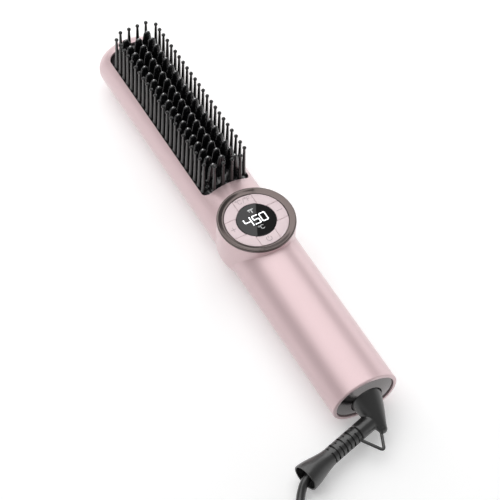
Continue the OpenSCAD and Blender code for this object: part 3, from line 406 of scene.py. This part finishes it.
def curve(points, first, last, parts):
    """Smooth curve through points with given headings at its ends."""
    p = [points[0] - first] + points + [points[-1] + last]
    out = []
    for i in range(1, len(p) - 2):
        a, b, c, d = p[i - 1:i + 3]
        for j in range(parts):
            u = j / parts
            out.append(0.5 * (2 * b + (c - a) * u + (2 * a - 5 * b + 4 * c - d) * u * u
                              + (3 * b - a - 3 * c + d) * u ** 3))
    return out + [points[-1]]


LEAD_ROUTE = [
    (167.2, -46.2, 9.2), (169.8, -53.4, 7.0), (173.4, -57.6, 4.8), (177.6, -61.0, 3.2),
    (182.0, -65.1, 2.5), (185.8, -70.6, 2.5), (188.3, -77.5, 2.5),
]
TAIL_ROUTE = [
    (240.8, -117.4, 17.2), (251.8, -111.3, 12.8), (260.6, -101.6, 8.6), (265.6, -90.4, 6.2),
]
PLUG_AT, PLUG_TURN = Vector((267.6, -76.0, 5.5)), math.radians(88)
plug_dir = Vector((math.cos(PLUG_TURN), math.sin(PLUG_TURN), 0))
STEPS_PER_TURN, STEPS_PER_SPAN = 48, 6
coil_entry = coil_point(0) - 2 * CORD_R * coil_heading(0)
coil_exit = coil_point(COIL_TURNS) + 2 * CORD_R * coil_heading(COIL_TURNS)
cord_path = curve([throat] + [Vector(p) for p in LEAD_ROUTE] + [coil_entry],
                  6 * relief_dir, 8 * coil_heading(0), STEPS_PER_SPAN)
cord_path += [coil_point(i / STEPS_PER_TURN)
              for i in range(round(COIL_TURNS * STEPS_PER_TURN) + 1)]
cord_path += curve([coil_exit] + [Vector(p) for p in TAIL_ROUTE] + [PLUG_AT],
                   8 * coil_heading(COIL_TURNS), 8 * plug_dir, STEPS_PER_SPAN)


def sweep(path, radius, sides):
    """Round tube along points, with rings square to the path that don't twist."""
    rings = []
    normal = Vector((0, 0, 1))
    for i, p in enumerate(path):
        h = (path[min(i + 1, len(path) - 1)] - path[max(i - 1, 0)]).normalized()
        normal = (normal - normal.dot(h) * h).normalized()
        side = h.cross(normal)
        rings.append([p + radius * (c * normal + s * side) for c, s in circle(sides)])
    return loft(rings)


cord = mesh_object("mains_lead", *sweep(cord_path, CORD_R, 16))
dress(cord, "rubber", "cord_set", ("cord_lead", "cord_coil", "cord_tail"))

# ------------------------------------------------------------------ housing
POD_PLACE = Matrix.Translation((POD_X, 0, 0))


def pod_solid(inset, top):
    """The pod's drum with its rounded underside, offset inwards."""
    bowl, drum = POD_BOWL - inset, POD_R - inset
    profile = [(0.0, top), (drum, top)]
    profile += [(drum - bowl + bowl * math.cos(a), AXIS_Z - bowl * math.sin(a))
                for a in [math.pi / 2 * i / 16 for i in range(17)]]
    profile.append((0.0, AXIS_Z - bowl))
    return mesh_object("pod_tool", *revolve(profile, 144, POD_PLACE))


def cylinder_tool(x, y, z1, z2, r, steps=144):
    return mesh_object("bore_tool", *revolve([(0, z1), (r, z1), (r, z2), (0, z2)], steps,
                                             Matrix.Translation((x, y, 0))))


def half_space(z1, z2):
    """Slab between two heights, wider than the housing."""
    return mesh_object("half_tool", *prism([(-160, -40), (160, -40), (160, 40), (-160, 40)],
                                           z1, z2))


def housing_part(name, lower):
    """One of the two shells, cut at the seam, with its openings."""
    shell = mesh_object(name, *loft(housing_rings(0, end_round=RIM_ROUND)))
    boolean(shell, [pod_solid(0, POD_TOP)], "UNION")
    inner = mesh_object("inner_tool", *loft(housing_rings(WALL, end_x=RIM_X + 1)))
    boolean(shell, [inner, pod_solid(WALL, 31.7)], "DIFFERENCE")
    if lower:
        boolean(shell, [half_space(SEAM_Z - SEAM_GAP, 60), half_space(-20, 0)], "DIFFERENCE")
    else:
        opening = mesh_object("opening_tool", *prism(
            rounded_rect(OPEN_X, OPEN_END, OPEN_W, OPEN_R), AXIS_Z + 2, 60))
        filler = mesh_object("filler_tool", *revolve(
            [(0, FILLER_Y), (FILLER_R, FILLER_Y), (FILLER_R, 30), (0, 30)], 64,
            Matrix.Translation((FILLER_X, 0, FILLER_Z)) @ Matrix.Rotation(-math.pi / 2, 4, "X")))
        boolean(shell, [
            cylinder_tool(POD_X, 0, 33.1, 60, POD_BORE), cylinder_tool(POD_X, 0, AXIS_Z, 60, 19.6),
            opening, filler, half_space(-20, SEAM_Z)], "DIFFERENCE")
    finish_mesh(shell, 20)
    bevel(shell, 0.28, 3, 24, 20)
    return shell


dress(housing_part("shell_front", False), "rose", "housing", ("front_shell",))
dress(housing_part("shell_back", True), "rose", "housing", ("back_shell",))

# ------------------------------------------------------------------ bristle bed
def bed(name, x1, x2, w, r, drop, thick, window=None):
    """Domed plate under a rounded rectangle, with an optional window."""
    piece = mesh_object(name, *prism(rounded_rect(x1, x2, w, r), AXIS_Z + 4, 50))
    bar = [oval_ring(x1 - 10, drop), oval_ring(x2 + 10, drop)]
    boolean(piece, [mesh_object("bar_tool", *loft(bar))], "INTERSECT")
    low = [oval_ring(x1 - 20, drop + thick), oval_ring(x2 + 20, drop + thick)]
    boolean(piece, [mesh_object("low_tool", *loft(low))], "DIFFERENCE")
    if window:
        cut = mesh_object("window_tool", *prism(rounded_rect(*window), 0, 60))
        boolean(piece, [cut], "DIFFERENCE")
    finish_mesh(piece, 25)
    return bevel(piece, 0.25, 2, 30, 25)


PIN_END = PIN_X + (PIN_COUNT - 1) * PIN_PITCH
WIN_X, WIN_END, WIN_W = PIN_X - END_STEP + 1.7, PIN_END + END_STEP - 1.7, 22.0
bed_plate = bed("bristle_bed", OPEN_X + 0.15, OPEN_END - 0.15, OPEN_W - 0.3, OPEN_R - 0.15,
                BED_DROP, FRAME_T, (WIN_X, WIN_END, WIN_W, 2.0))

pin_places = [(PIN_X + i * PIN_PITCH, s * PIN_Y) for i in range(PIN_COUNT) for s in (-1, 1)]
for row in (PIN_X - END_STEP, PIN_END + END_STEP):
    pin_places += [(row, k * END_PITCH) for k in (-1.5, -0.5, 0.5, 1.5)]


def pin_mesh(x, y):
    """Moulded bristle: flared foot, slight taper, ball tip."""
    base = oval_top(y, BED_DROP)
    foot = base - 0.9
    root, neck = base + 2.2, PIN_TOP - 2.1
    profile = [(0, foot - 0.8), (2.05, foot - 0.8), (2.0, foot + 0.7), (1.68, base + 0.55),
               (1.42, base + 1.2), (PIN_ROOT_R, root)]
    for i in range(1, 5):
        u = i / 5
        profile.append((PIN_ROOT_R + (PIN_NECK_R - PIN_ROOT_R) * u, root + (neck - root) * u))
    profile += [(PIN_NECK_R, neck - 0.4), (PIN_NECK_R + 0.02, neck - 0.12)]
    for i in range(10):
        a = math.pi * (-0.26 + 0.76 * i / 9)
        profile.append((max(0.0, PIN_BALL_R * math.cos(a)),
                        PIN_TOP - PIN_BALL_R + PIN_BALL_R * math.sin(a)))
    return revolve(profile, 20, Matrix.Translation((x, y, 0)))


pins = merge("bristle_pins", [pin_mesh(x, y) for x, y in pin_places], 60)
dress(bed_plate, "black_gloss", "housing", ("bristle_frame",))
dress(pins, "black_pin", "housing", ("bristle_frame",))

# ------------------------------------------------------------------ heated teeth
PLATE_DROP = BED_DROP + PLATE_STEP
heater = bed("heater_bed", WIN_X + 0.15, WIN_END - 0.15, WIN_W - 0.3, 1.85, PLATE_DROP, 3.0)
dress(heater, "black_gloss", "housing", ("heater_plate",))


def tooth_ring(x, y, z, half_y, half_x):
    return [(x + half_x * c, y + half_y * s, z) for c, s in squircle(28, 2.6)]


TOOTH_SHAPE = [  # below the top, half width across, half thickness along
    (0.66, 0.70, 0.62), (0.80, 1.15, 0.74), (1.00, 1.55, 0.84), (1.45, 1.95, 0.95),
    (2.5, 2.25, 1.06), (4.0, 2.5, 1.12), (6.0, 2.78, 1.16), (8.0, 3.0, 1.2),
    (12.0, 3.15, 1.22), (16.0, 3.25, 1.22), (17.3, 3.45, 1.45), (18.2, 3.9, 1.9),
]


def tooth_mesh(x, y):
    """Bell-shaped tooth, flat on top where its crown sits."""
    foot = oval_top(y, PLATE_DROP)
    rings = [tooth_ring(x, y, TOOTH_TOP - d, hy, hx) for d, hy, hx in TOOTH_SHAPE
             if TOOTH_TOP - d > foot + 1.4]
    rings.append(tooth_ring(x, y, foot + 1.2, 3.3, 1.24))
    rings.append(tooth_ring(x, y, foot + 0.4, 3.5, 1.5))
    rings.append(tooth_ring(x, y, foot - 0.5, 3.9, 2.0))
    return loft(rings)


CROWN_SHAPE = [(0.6, -0.7), (0.6, -0.45), (0.55, -0.25), (0.42, -0.1), (0.22, -0.02), (0.0, 0.0)]


def crown_mesh(x, y):
    return revolve(CROWN_SHAPE, 14, Matrix.Translation((x, y, TOOTH_TOP)))


tooth_places = [(PIN_X + i * TOOTH_PITCH, s * TOOTH_Y)
                for i in range(TOOTH_COUNT) for s in (-1, 1)]
tooth_places += [(PIN_X + (i + 0.5) * TOOTH_PITCH, 0.0) for i in range(TOOTH_COUNT - 1)]
teeth = merge("heated_teeth", [tooth_mesh(x, y) for x, y in tooth_places], 50)
dress(teeth, "black_gloss", "housing", ("heater_plate",))
crowns = merge("tooth_crowns", [crown_mesh(x, y) for x, y in tooth_places], 60)
dress(crowns, "crown", "housing")

# ------------------------------------------------------------------ pod top
BEZEL_LOW = BEZEL_TOP - BEZEL_DISH
bezel_profile = [(BEZEL_IN, 34.3), (POD_BORE - 0.15, 34.3), (POD_BORE - 0.15, POD_TOP)]
bezel_profile += [(POD_R + r, POD_TOP + z) for r, z in (
    (-0.05, 0.0), (0.03, 0.15), (0.05, 0.5), (-0.02, 0.95))]
bezel_profile += [(POD_R - r, BEZEL_TOP - z) for r, z in (
    (0.18, 0.34), (0.42, 0.13), (0.72, 0.04), (1.0, 0.08), (1.3, 0.18), (1.9, 0.44), (2.6, 0.76))]
bezel_profile += [(POD_R - 3.2, BEZEL_LOW + 0.04), (BEZEL_IN + 0.4, BEZEL_LOW - 0.03),
                  (BEZEL_IN + 0.12, BEZEL_LOW - 0.1), (BEZEL_IN, BEZEL_LOW - 0.3)]
bezel = mesh_object("bezel", *revolve(bezel_profile, 160, POD_PLACE, closed=True), sharp=50)
dress(bezel, "gunmetal", "housing", ("bezel_ring",))


def ring_sector(turn_deg, r_in, r_out, inner, outer, n):
    """Plan of a part of the ring, from the angles at its inner and at its outer radius."""
    points = arc(0, 0, r_out, *outer, n) + arc(0, 0, r_in, *reversed(inner), n)
    c, s = math.cos(math.radians(turn_deg)), math.sin(math.radians(turn_deg))
    return [(POD_X + x * c - y * s, x * s + y * c) for x, y in points]


def key_plan(turn_deg):
    """Plan of a key: the ring, cut by a strip along one axis."""
    half, r_in, r_out = KEY_W / 2 - KEY_GAP, KEY_IN + KEY_GAP, KEY_OUT - KEY_GAP
    a_in, a_out = math.asin(half / r_in), math.asin(half / r_out)
    return ring_sector(turn_deg, r_in, r_out, (-a_in, a_in), (-a_out, a_out), 14)


def block_plan(turn_deg):
    """Plan of the fixed ring between two keys."""
    a_in, a_out = math.asin(KEY_W / 2 / KEY_IN), math.asin(KEY_W / 2 / KEY_OUT)
    return ring_sector(turn_deg, KEY_IN, KEY_OUT, (a_in, math.pi / 2 - a_in),
                       (a_out, math.pi / 2 - a_out), 10)


KEYS = {"key_power": (0, "power_key"), "key_minus": (90, "minus_key"),
        "key_mode": (180, "mode_key"), "key_plus": (270, "plus_key")}
KEY_MID = (KEY_IN + KEY_OUT) / 2
KEY_TURNS = (0, 90, 180, 270)
stem_spots = {a: (POD_X + KEY_MID * math.cos(math.radians(a)),
                  KEY_MID * math.sin(math.radians(a))) for a in KEY_TURNS}

ring = merge("key_ring_top", [prism(block_plan(a), 33.9, KEY_TOP) for a in KEY_TURNS], 30)
bevel(ring, KEY_EDGE, 3, 50, 30)
floor_ring = mesh_object("key_ring_floor", *revolve(
    [(9.8, 33.2), (20.8, 33.2), (20.8, 34.0), (11.4, 34.0), (11.4, 35.6), (9.8, 35.6)],
    96, POD_PLACE, closed=True))
boolean(floor_ring, [cylinder_tool(x, y, 33.0, 34.2, STEM_R + KEY_GAP, 48)
                     for x, y in stem_spots.values()], "DIFFERENCE")
finish_mesh(floor_ring, 30)
dress(ring, "rose_keys", "housing", ("key_ring",))
dress(floor_ring, "plastic", "housing", ("key_ring",))

for node, (turn_deg, body) in KEYS.items():
    key = mesh_object(node + "_cap", *prism(key_plan(turn_deg), KEY_TOP - KEY_T, KEY_TOP), 30)
    bevel(key, KEY_EDGE, 3, 50, 30)
    boolean(key, [cylinder_tool(*stem_spots[turn_deg], 33.5, 35.0, STEM_R, 48)], "UNION")
    finish_mesh(key, 30)
    dress(key, "rose_keys", body, (node,))

PRINT_T = 0.03


def stroke(points, half, z, closed=False):
    """Flat printed line through points round the pod's middle, with round joints."""
    parts = []
    points = [(POD_X + x, y) for x, y in points]
    for a, b in zip(points, points[1:] + points[:1] if closed else points[1:]):
        a, b = Vector(a), Vector(b)
        d = (b - a).normalized() * half
        n = Vector((-d.y, d.x))
        parts.append(prism([(p.x, p.y) for p in (a - n, b - n, b + n, a + n)], z, z + PRINT_T))
    for x, y in points:
        parts.append(prism([(x + half * c, y + half * s) for c, s in circle(16)],
                           z, z + PRINT_T))
    return parts


def drawing(z, *lines):
    """Strokes at one height, each given by its half width and its points."""
    return [part for half, points in lines for part in stroke(points, half, z)]


def bow(cx, r, turn_deg, cy=0.0, n=20, start=0.0):
    """Points of an arc of turn_deg degrees about a point by the pod's middle."""
    return arc(cx, cy, r, math.radians(start), math.radians(start + turn_deg), n)


mark_z = KEY_TOP - 0.01
THIN, FINE = 0.13, 0.1
# The unit signs read along +Y with their tops toward -X
MARKS = {
    "power": [(THIN, bow(14.9, 1.6, 284, start=-142)), (THIN, [(12.9, 0), (14.6, 0)])],
    "plus": [(THIN, [(-1.5, -15.1), (1.5, -15.1)]), (THIN, [(0, -16.6), (0, -13.6)])],
    "minus": [(THIN, [(0, 13.6), (0, 17.0)])],
    "mode": [(FINE, bow(-16.9, 0.45, 340, -4.3, 12)),
             (FINE, [(-16.7, -1.4), (-17.1, -2.0), (-17.1, -2.9), (-16.5, -3.4), (-14.9, -3.4),
                     (-14.3, -2.9), (-14.3, -2.0), (-14.7, -1.4)]),
             (FINE, [(-17.3, 0.7), (-14.1, -0.6)]),
             (FINE, bow(-16.9, 0.45, 340, 1.7, 12)),
             (FINE, [(-17.1, 4.7), (-17.1, 2.7), (-14.3, 2.7)]),
             (FINE, [(-15.8, 2.7), (-15.8, 4.2)])],
}
for name, lines in MARKS.items():
    mark = merge("mark_" + name, drawing(mark_z, *lines), 30)
    dress(mark, "mark", name + "_key")

lens = mesh_object("lens", *revolve(
    [(0, 35.62), (LENS_R - 0.05, 35.62), (LENS_R, 35.7), (LENS_R, LENS_TOP - 0.2),
     (LENS_R - 0.06, LENS_TOP - 0.06), (LENS_R - 0.2, LENS_TOP - 0.02), (0, LENS_TOP - 0.02)],
    128, POD_PLACE), sharp=12)
dress(lens, "lens", "housing", ("display_lens",))

digit_z = LENS_TOP - 0.03
BOLD = 0.36
four_five = drawing(
    digit_z,
    (BOLD, [(-2.9, -7.15), (-0.9, -7.15), (-0.45, -6.7), (-0.45, -3.1)]),
    (BOLD, [(-3.3, -3.1), (2.7, -3.1)]),
    (BOLD, [(-3.2, 1.75), (-3.2, -1.0), (-2.85, -1.5), (-0.9, -1.5), (-0.45, -1.1),
            (-0.45, 1.3), (-0.05, 1.7), (2.2, 1.7), (2.6, 1.3), (2.6, -1.7)]))
zero = stroke([(-3.1, 3.7), (-3.1, 6.1), (-2.6, 6.6), (2.1, 6.6), (2.6, 6.1), (2.6, 3.6),
               (2.1, 3.1), (-2.6, 3.1)], BOLD, digit_z, closed=True)
dress(merge("lit_digits", four_five + zero, 30), "digit", "housing")
unit = drawing(
    digit_z,
    (0.16, bow(4.9, 0.45, 340, -1.2, 12)),
    (0.19, [(4.9, 1.6), (4.6, 1.2), (4.6, 0.2), (5.0, -0.3), (6.7, -0.3), (7.1, 0.2),
            (7.1, 1.2), (6.8, 1.6)]),
    (0.38, [(-8.0, -1.3), (-8.0, 1.8)]),
    (0.36, [(-7.5, 0.55), (-5.7, 0.55)]),
    (0.22, [(-7.4, -0.9), (-6.6, -0.9)]))
dress(merge("lit_signs", unit, 30), "unit", "housing")

# ------------------------------------------------------------------ end cap
def oval_reach(c, s, inset):
    """Distance from the axis to the housing oval in the direction of a cosine and a sine."""
    c, s = abs(c), abs(s)
    lo, hi = 0.0, 30.0
    for _ in range(40):
        d = (lo + hi) / 2
        y, z = d * c, d * s
        if math.atan2(z, y - SIDE_C) > ARC:
            inside = math.hypot(y, z + TOP_C) < TOP_R - inset
        else:
            inside = math.hypot(y - SIDE_C, z) < SIDE_R - inset
        lo, hi = (d, hi) if inside else (lo, d)
    return lo


def blend_ring(x, t, inset, r):
    """Ring at x between the housing oval (t = 0) and a circle of radius r (t = 1)."""
    ring = []
    for c, s in circle(160):
        d = oval_reach(c, s, inset) * (1 - t) + r * t
        ring.append((x, d * c, AXIS_Z + d * s))
    return ring


CAP_R, CAP_BORE = 9.85, 7.7
CAP_SHAPE = [  # from the rim along X, share of the circle, inset of the oval, radius
    (-4.7, 0, 2.35, 0), (-0.95, 0, 2.35, 0), (-0.82, 0, 2.4, 0), (-0.74, 0, 2.5, 0),
    (-0.70, 0.03, 2.6, CAP_R), (0.35, 0.5, 2.6, CAP_R), (1.25, 0.94, 2.6, CAP_R),
    (1.36, 0.985, 2.6, CAP_R), (1.32, 1.0, 2.6, CAP_R), (1.1, 1.0, 2.6, CAP_R - 0.03),
    (-3.1, 1.0, 2.6, CAP_R - 0.03), (-3.2, 1.0, 2.6, CAP_BORE), (-4.7, 1.0, 2.6, CAP_BORE),
]
cap_rings = [blend_ring(RIM_X + along, *shape) for along, *shape in CAP_SHAPE]
cap_verts, cap_faces = loft(cap_rings, capped=False)
n = len(cap_rings[0])
last = len(cap_verts) - n
cap_faces += [(last + k, last + (k + 1) % n, (k + 1) % n, k) for k in range(n)]
end_cap = mesh_object("end_cap_cover", cap_verts, cap_faces, sharp=40)
dress(end_cap, "cap_metal", "housing", ("end_cap",))

# ------------------------------------------------------------------ elbow and strain relief
ROOT_R, TIP_R, RELIEF_R, MOUTH_R, MOUTH_LEN = 9.3, 2.85, 5.1, 8.2, 20.0
ROOT_DEPTH, ROOT_SHARE, ELBOW_STEPS, TIP_STEPS = 4, 0.16, 26, 8
ELBOW_TIP = Vector((ELBOW_FACE + 17.95, 0, AXIS_Z - 5.8))


def elbow_mesh():
    """Cone of the elbow, drawn down to its tip, joined to the start of the strain relief."""
    sections = []
    root = Vector((ELBOW_FACE - ROOT_DEPTH, 0, AXIS_Z))
    for i in range(ELBOW_STEPS + 1):
        u = i / ELBOW_STEPS
        if u < ROOT_SHARE:
            sections.append((root + Vector((ROOT_DEPTH * u / ROOT_SHARE, 0, 0)), ROOT_R))
        else:
            w = (u - ROOT_SHARE) / (1 - ROOT_SHARE)
            swell = 2.6 * w * (1 - w) * (1.12 - w)
            sections.append((Vector((ELBOW_FACE, 0, AXIS_Z)).lerp(ELBOW_TIP, w),
                             ROOT_R + (TIP_R - ROOT_R) * w + swell))
    for i in range(1, TIP_STEPS + 1):
        a = math.pi / 2 * i / TIP_STEPS
        sections.append((ELBOW_TIP + Vector((TIP_R * 0.9 * math.sin(a), 0, 0)),
                         max(0.05, TIP_R * math.cos(a))))
    rings = [[centre + Vector((0, r * c, r * s)) for c, s in circle(64)]
             for centre, r in sections]
    cone = mesh_object("elbow", *loft(rings), sharp=180)
    arm = mesh_object("arm_tool", *revolve(
        [(0, -1.0), (RELIEF_R - 0.6, -1.0), (RELIEF_R, 0.0), (RELIEF_R, 14.2),
         (RELIEF_R - 1.1, 14.2), (RELIEF_R - 1.1, 16), (0, 16)], 64, relief_place(0)))
    boolean(cone, [arm], "UNION")
    remesh = cone.modifiers.new("remesh", "REMESH")
    remesh.mode, remesh.voxel_size = "VOXEL", 0.34 * MM
    smooth = cone.modifiers.new("smooth", "CORRECTIVE_SMOOTH")
    smooth.iterations, smooth.smooth_type, smooth.use_only_smooth = 9, "SIMPLE", True
    apply_modifiers(cone)
    cone.data.shade_smooth()
    return cone


elbow = elbow_mesh()
journal = mesh_object("elbow_journal", *revolve(
    [(0, -26.2), (4.5, -26.2), (4.5, -12.8), (7.0, -12.8), (7.0, -4.1), (ROOT_R, -4.1),
     (ROOT_R, -0.6), (0, -0.6)], 96,
    Matrix.Translation((ELBOW_FACE, 0, AXIS_Z)) @ Matrix.Rotation(math.pi / 2, 4, "Y")), sharp=40)


def relief_radius(s):
    u = max(0.0, (s - RELIEF_LEN + MOUTH_LEN) / MOUTH_LEN)
    return RELIEF_R + (MOUTH_R - RELIEF_R) * ease(u)


GROOVES, GROOVE_W, GROOVE_D, GROOVE_SHIFT = (14.6, 20.5, 26.4, 32.3), 1.15, 1.0, 2.95
LONG_GROOVES = ((165, 160), (345, 160))  # middle and span round the relief, in degrees
SHORT_GROOVES = ((106, 132), (244, 94))
RELIEF_START, TUBE_START = 14.0, 15.4


def groove_tool(s, middle, span):
    """Slot with rounded ends round part of the strain relief."""
    rings = []
    steps = 24
    place = relief_place(s)
    r1, r2 = RELIEF_R - GROOVE_D, RELIEF_R + 1.2
    for k in range(steps + 1):
        u = 2 * k / steps - 1
        a = math.radians(middle + span / 2 * u)
        half = GROOVE_W / 2 * math.sqrt(max(0.02, 1 - max(0.0, (abs(u) - 0.9) / 0.1) ** 2))
        rings.append([place @ Vector((r * math.cos(a), r * math.sin(a), z))
                      for r, z in ((r1, -half), (r2, -half), (r2, half), (r1, half))])
    return loft(rings)


def relief_mesh():
    """Ribbed tube that opens into the bell mouth, with the cord's throat in it."""
    outer = [(RELIEF_R - GROOVE_D, RELIEF_START), (RELIEF_R - GROOVE_D, 15.05),
             (RELIEF_R - 0.12, 15.05), (RELIEF_R, 15.17)]
    for i in range(61):
        s = TUBE_START + (RELIEF_LEN - 0.25 - TUBE_START) * i / 60
        outer.append((relief_radius(s), s))
    lip = relief_radius(RELIEF_LEN)
    outer += [(lip - 0.06, RELIEF_LEN - 0.08), (lip - 0.22, RELIEF_LEN), (lip - 0.75, RELIEF_LEN),
              (lip - 0.95, RELIEF_LEN - 0.15)]
    for i in range(1, 17):
        u = 1 - i / 16
        outer.append((CORD_R + 0.12 + (MOUTH_R - 1.1 - CORD_R) * ease(u),
                      RELIEF_LEN - THROAT_DEPTH * (1 - u)))
    outer.append((0, RELIEF_LEN - THROAT_DEPTH))
    body = mesh_object("strain_relief", *revolve([(0, RELIEF_START)] + outer, 72,
                                                 relief_place(0)))
    cutters = []
    for i, s in enumerate(GROOVES):
        if i:
            cutters += [groove_tool(s, *arc_span) for arc_span in LONG_GROOVES]
        cutters += [groove_tool(s + GROOVE_SHIFT, *arc_span) for arc_span in SHORT_GROOVES]
    boolean(body, [merge("groove_tool", cutters, 40)], "DIFFERENCE")
    finish_mesh(body, 30)
    return bevel(body, 0.1, 2, 40, 35)


relief = relief_mesh()
for piece in (elbow, journal, relief):
    dress(piece, "rubber", "cord_set", ("cord_elbow",))

# ------------------------------------------------------------------ hanging loop
loop_start = Vector((ELBOW_FACE + 17.5, -0.8, AXIS_Z - 6.8))
loop_corner = Vector((ELBOW_FACE + 29.4, -5.8, AXIS_Z - 7.2))
loop_back = Vector((ELBOW_FACE + 15.4, -15.8, AXIS_Z - 6.2))
LOOP_BEND, LOOP_WIRE_R = 2.6, 0.93
bend_in = loop_corner - LOOP_BEND * (loop_corner - loop_start).normalized()
bend_out = loop_corner + LOOP_BEND * (loop_back - loop_corner).normalized()
loop_path = [loop_start.lerp(bend_in, i / 6) for i in range(7)]
for i in range(1, 8):
    u = i / 8
    loop_path.append((1 - u) ** 2 * bend_in + 2 * u * (1 - u) * loop_corner + u * u * bend_out)
loop_path += [bend_out.lerp(loop_back, i / 8) for i in range(9)]
loop = mesh_object("hanging_wire", *sweep(loop_path, LOOP_WIRE_R, 16))
dress(loop, "rubber", "cord_set", ("hang_loop",))

# ------------------------------------------------------------------ plug
def plug_mesh():
    """Plug moulding: round where the cord enters, drawn out to a rounded block."""
    rot = Matrix.Translation(PLUG_AT) @ Matrix.Rotation(PLUG_TURN, 4, "Z")
    shape = [  # along, half width, half height
        (0.0, 3.4, 3.4), (0.6, 3.55, 3.5), (3.0, 3.7, 3.6), (6.0, 3.9, 3.8), (8.5, 4.3, 4.1),
        (10.2, 5.2, 4.7), (12.0, 6.5, 5.15), (14.0, 7.4, 5.4), (17.0, 7.9, 5.5), (24.0, 8.0, 5.5),
        (31.0, 7.9, 5.45), (32.8, 7.6, 5.2), (33.7, 7.2, 4.8), (34.0, 6.4, 4.1),
    ]
    rings = []
    for x, half_y, half_z in shape:
        power = 2.0 + 1.6 * min(1.0, max(0.0, (x - 6) / 10))
        rings.append([rot @ Vector((x, half_y * c, half_z * s)) for c, s in squircle(48, power)])
    return mesh_object("plug_moulding", *loft(rings), sharp=50)


plug = dress(plug_mesh(), "rubber", "cord_set", ("plug_body",))

# ------------------------------------------------------------------ carried-over CAD solids
FINISH = {
    "steel": ["shell_screws", "clamp_screws", "board_screws", "element_clamp", "swivel_clip",
              "plug_blades", "tact_switches"],
    "aluminium": ["heating_elements", "thermal_fuse", "evaporator"],
    "brass": ["thermistor", "slip_rings", "contact_springs"],
    "board": ["display_board", "main_board"],
    "mica": ["mica_sheet"],
    "plastic": ["pump", "contact_block", "capacitors", "relay", "terminal_block", "transformer",
                "display_module", "swivel_bush"],
    "clear": ["water_tube", "tank_tube", "filler_seal", "water_tank"],
    "sleeve": ["ribbon_cable", "heater_leads", "power_leads"],
    "rubber": ["filler_plug"],
}
for mat, nodes in FINISH.items():
    for node in nodes:
        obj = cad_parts[node]
        obj.data.materials.clear()
        obj.data.materials.append(MATS[mat])

# ------------------------------------------------------------------ floor, world and lights
SKY_LEVELS = [(0.0, 0.50), (0.15, 0.90), (0.30, 0.60), (0.45, 0.34), (1.0, 0.30)]
SIDE_FALL = 0.32  # how much darker the sky gets toward -Y
world = bpy.data.worlds.new("studio")
bpy.context.scene.world = world
world.use_nodes = True
wt = world.node_tree
back = wt.nodes["Background"]
sky_dir = wt.nodes.new("ShaderNodeTexCoord")
sky_split = wt.nodes.new("ShaderNodeSeparateXYZ")
sky_ramp = wt.nodes.new("ShaderNodeValToRGB")
link(wt, sky_dir.outputs["Generated"], sky_split.inputs["Vector"])
link(wt, sky_split.outputs["Z"], sky_ramp.inputs["Fac"])
link(wt, sky_ramp.outputs["Color"], back.inputs["Color"])
side_fall = wt.nodes.new("ShaderNodeMath")
side_fall.operation, side_fall.use_clamp = "MULTIPLY_ADD", True
side_fall.inputs[1].default_value, side_fall.inputs[2].default_value = SIDE_FALL, 1.0
link(wt, sky_split.outputs["Y"], side_fall.inputs[0])
link(wt, side_fall.outputs[0], back.inputs["Strength"])
sky_ramp.color_ramp.elements[0].position, sky_ramp.color_ramp.elements[1].position = 0.0, 1.0
for height, _ in SKY_LEVELS[1:-1]:
    sky_ramp.color_ramp.elements.new(height)
for stop, (_, level) in zip(sky_ramp.color_ramp.elements, SKY_LEVELS):
    stop.color = (level, level, level, 1)

floor_mat = bpy.data.materials.new("pale_floor")
floor_mat.use_nodes = True
ft = floor_mat.node_tree
floor_bsdf = ft.nodes["Principled BSDF"]
floor_bsdf.inputs["Base Color"].default_value = (0.94, 0.94, 0.94, 1)
floor_bsdf.inputs["Roughness"].default_value = 0.9
floor_bsdf.inputs["Specular IOR Level"].default_value = 0.0
floor_bsdf.inputs["Emission Color"].default_value = (1, 1, 1, 1)
rays = ft.nodes.new("ShaderNodeLightPath")
mirrored, shown, lift = [ft.nodes.new("ShaderNodeMath") for _ in range(3)]
mirrored.operation = shown.operation = "MAXIMUM"
lift.operation = "MULTIPLY"
link(ft, rays.outputs["Is Glossy Ray"], mirrored.inputs[0])
link(ft, rays.outputs["Is Transmission Ray"], mirrored.inputs[1])
link(ft, rays.outputs["Is Camera Ray"], shown.inputs[0])
link(ft, mirrored.outputs[0], shown.inputs[1])
lift.inputs[1].default_value = FLOOR_LIFT
link(ft, shown.outputs[0], lift.inputs[0])
link(ft, lift.outputs[0], floor_bsdf.inputs["Emission Strength"])
FLOOR_HALF, FLOOR_Z = 4000, -0.2
floor = mesh_object("floor", [(x * FLOOR_HALF, y * FLOOR_HALF, FLOOR_Z)
                              for x, y in ((-1, -1), (1, -1), (1, 1), (-1, 1))], [(0, 1, 2, 3)])
floor.data.materials.append(floor_mat)

LIT_POINT = Vector((0.02, 0, 0.02))


def softbox(name, direction, distance, width, length, power, along=(1, 0, 0)):
    """Area light aimed at the brush, its long side along a direction."""
    data = bpy.data.lights.new(name, "AREA")
    data.shape, data.size, data.size_y = "RECTANGLE", length, width
    data.energy = power
    obj = new_object(name, data)
    d = Vector(direction).normalized()
    x = Vector(along)
    x = (x - x.dot(d) * d).normalized()
    y = d.cross(x)
    rot = Matrix((x, y, d)).transposed().to_4x4()
    obj.matrix_world = Matrix.Translation(d * distance + LIT_POINT) @ rot


# The overhead light's edge is what splits the lens; the key light stands just beside it
softbox("overhead", (-0.50, -0.154, 0.86), 1.3, 1.2, 2.0, 11.6, (0.89, -0.27, 0))
softbox("side", (-0.50, 0.84, 0.21), 1.3, 0.5, 1.5, 1.7)
softbox("key", (-0.2404, 0.4085, 0.8805), 1.425, 0.5, 1.6, 3.7, (0.823, -0.395, 0.408))

bpy.context.scene.view_settings.view_transform = "Standard"
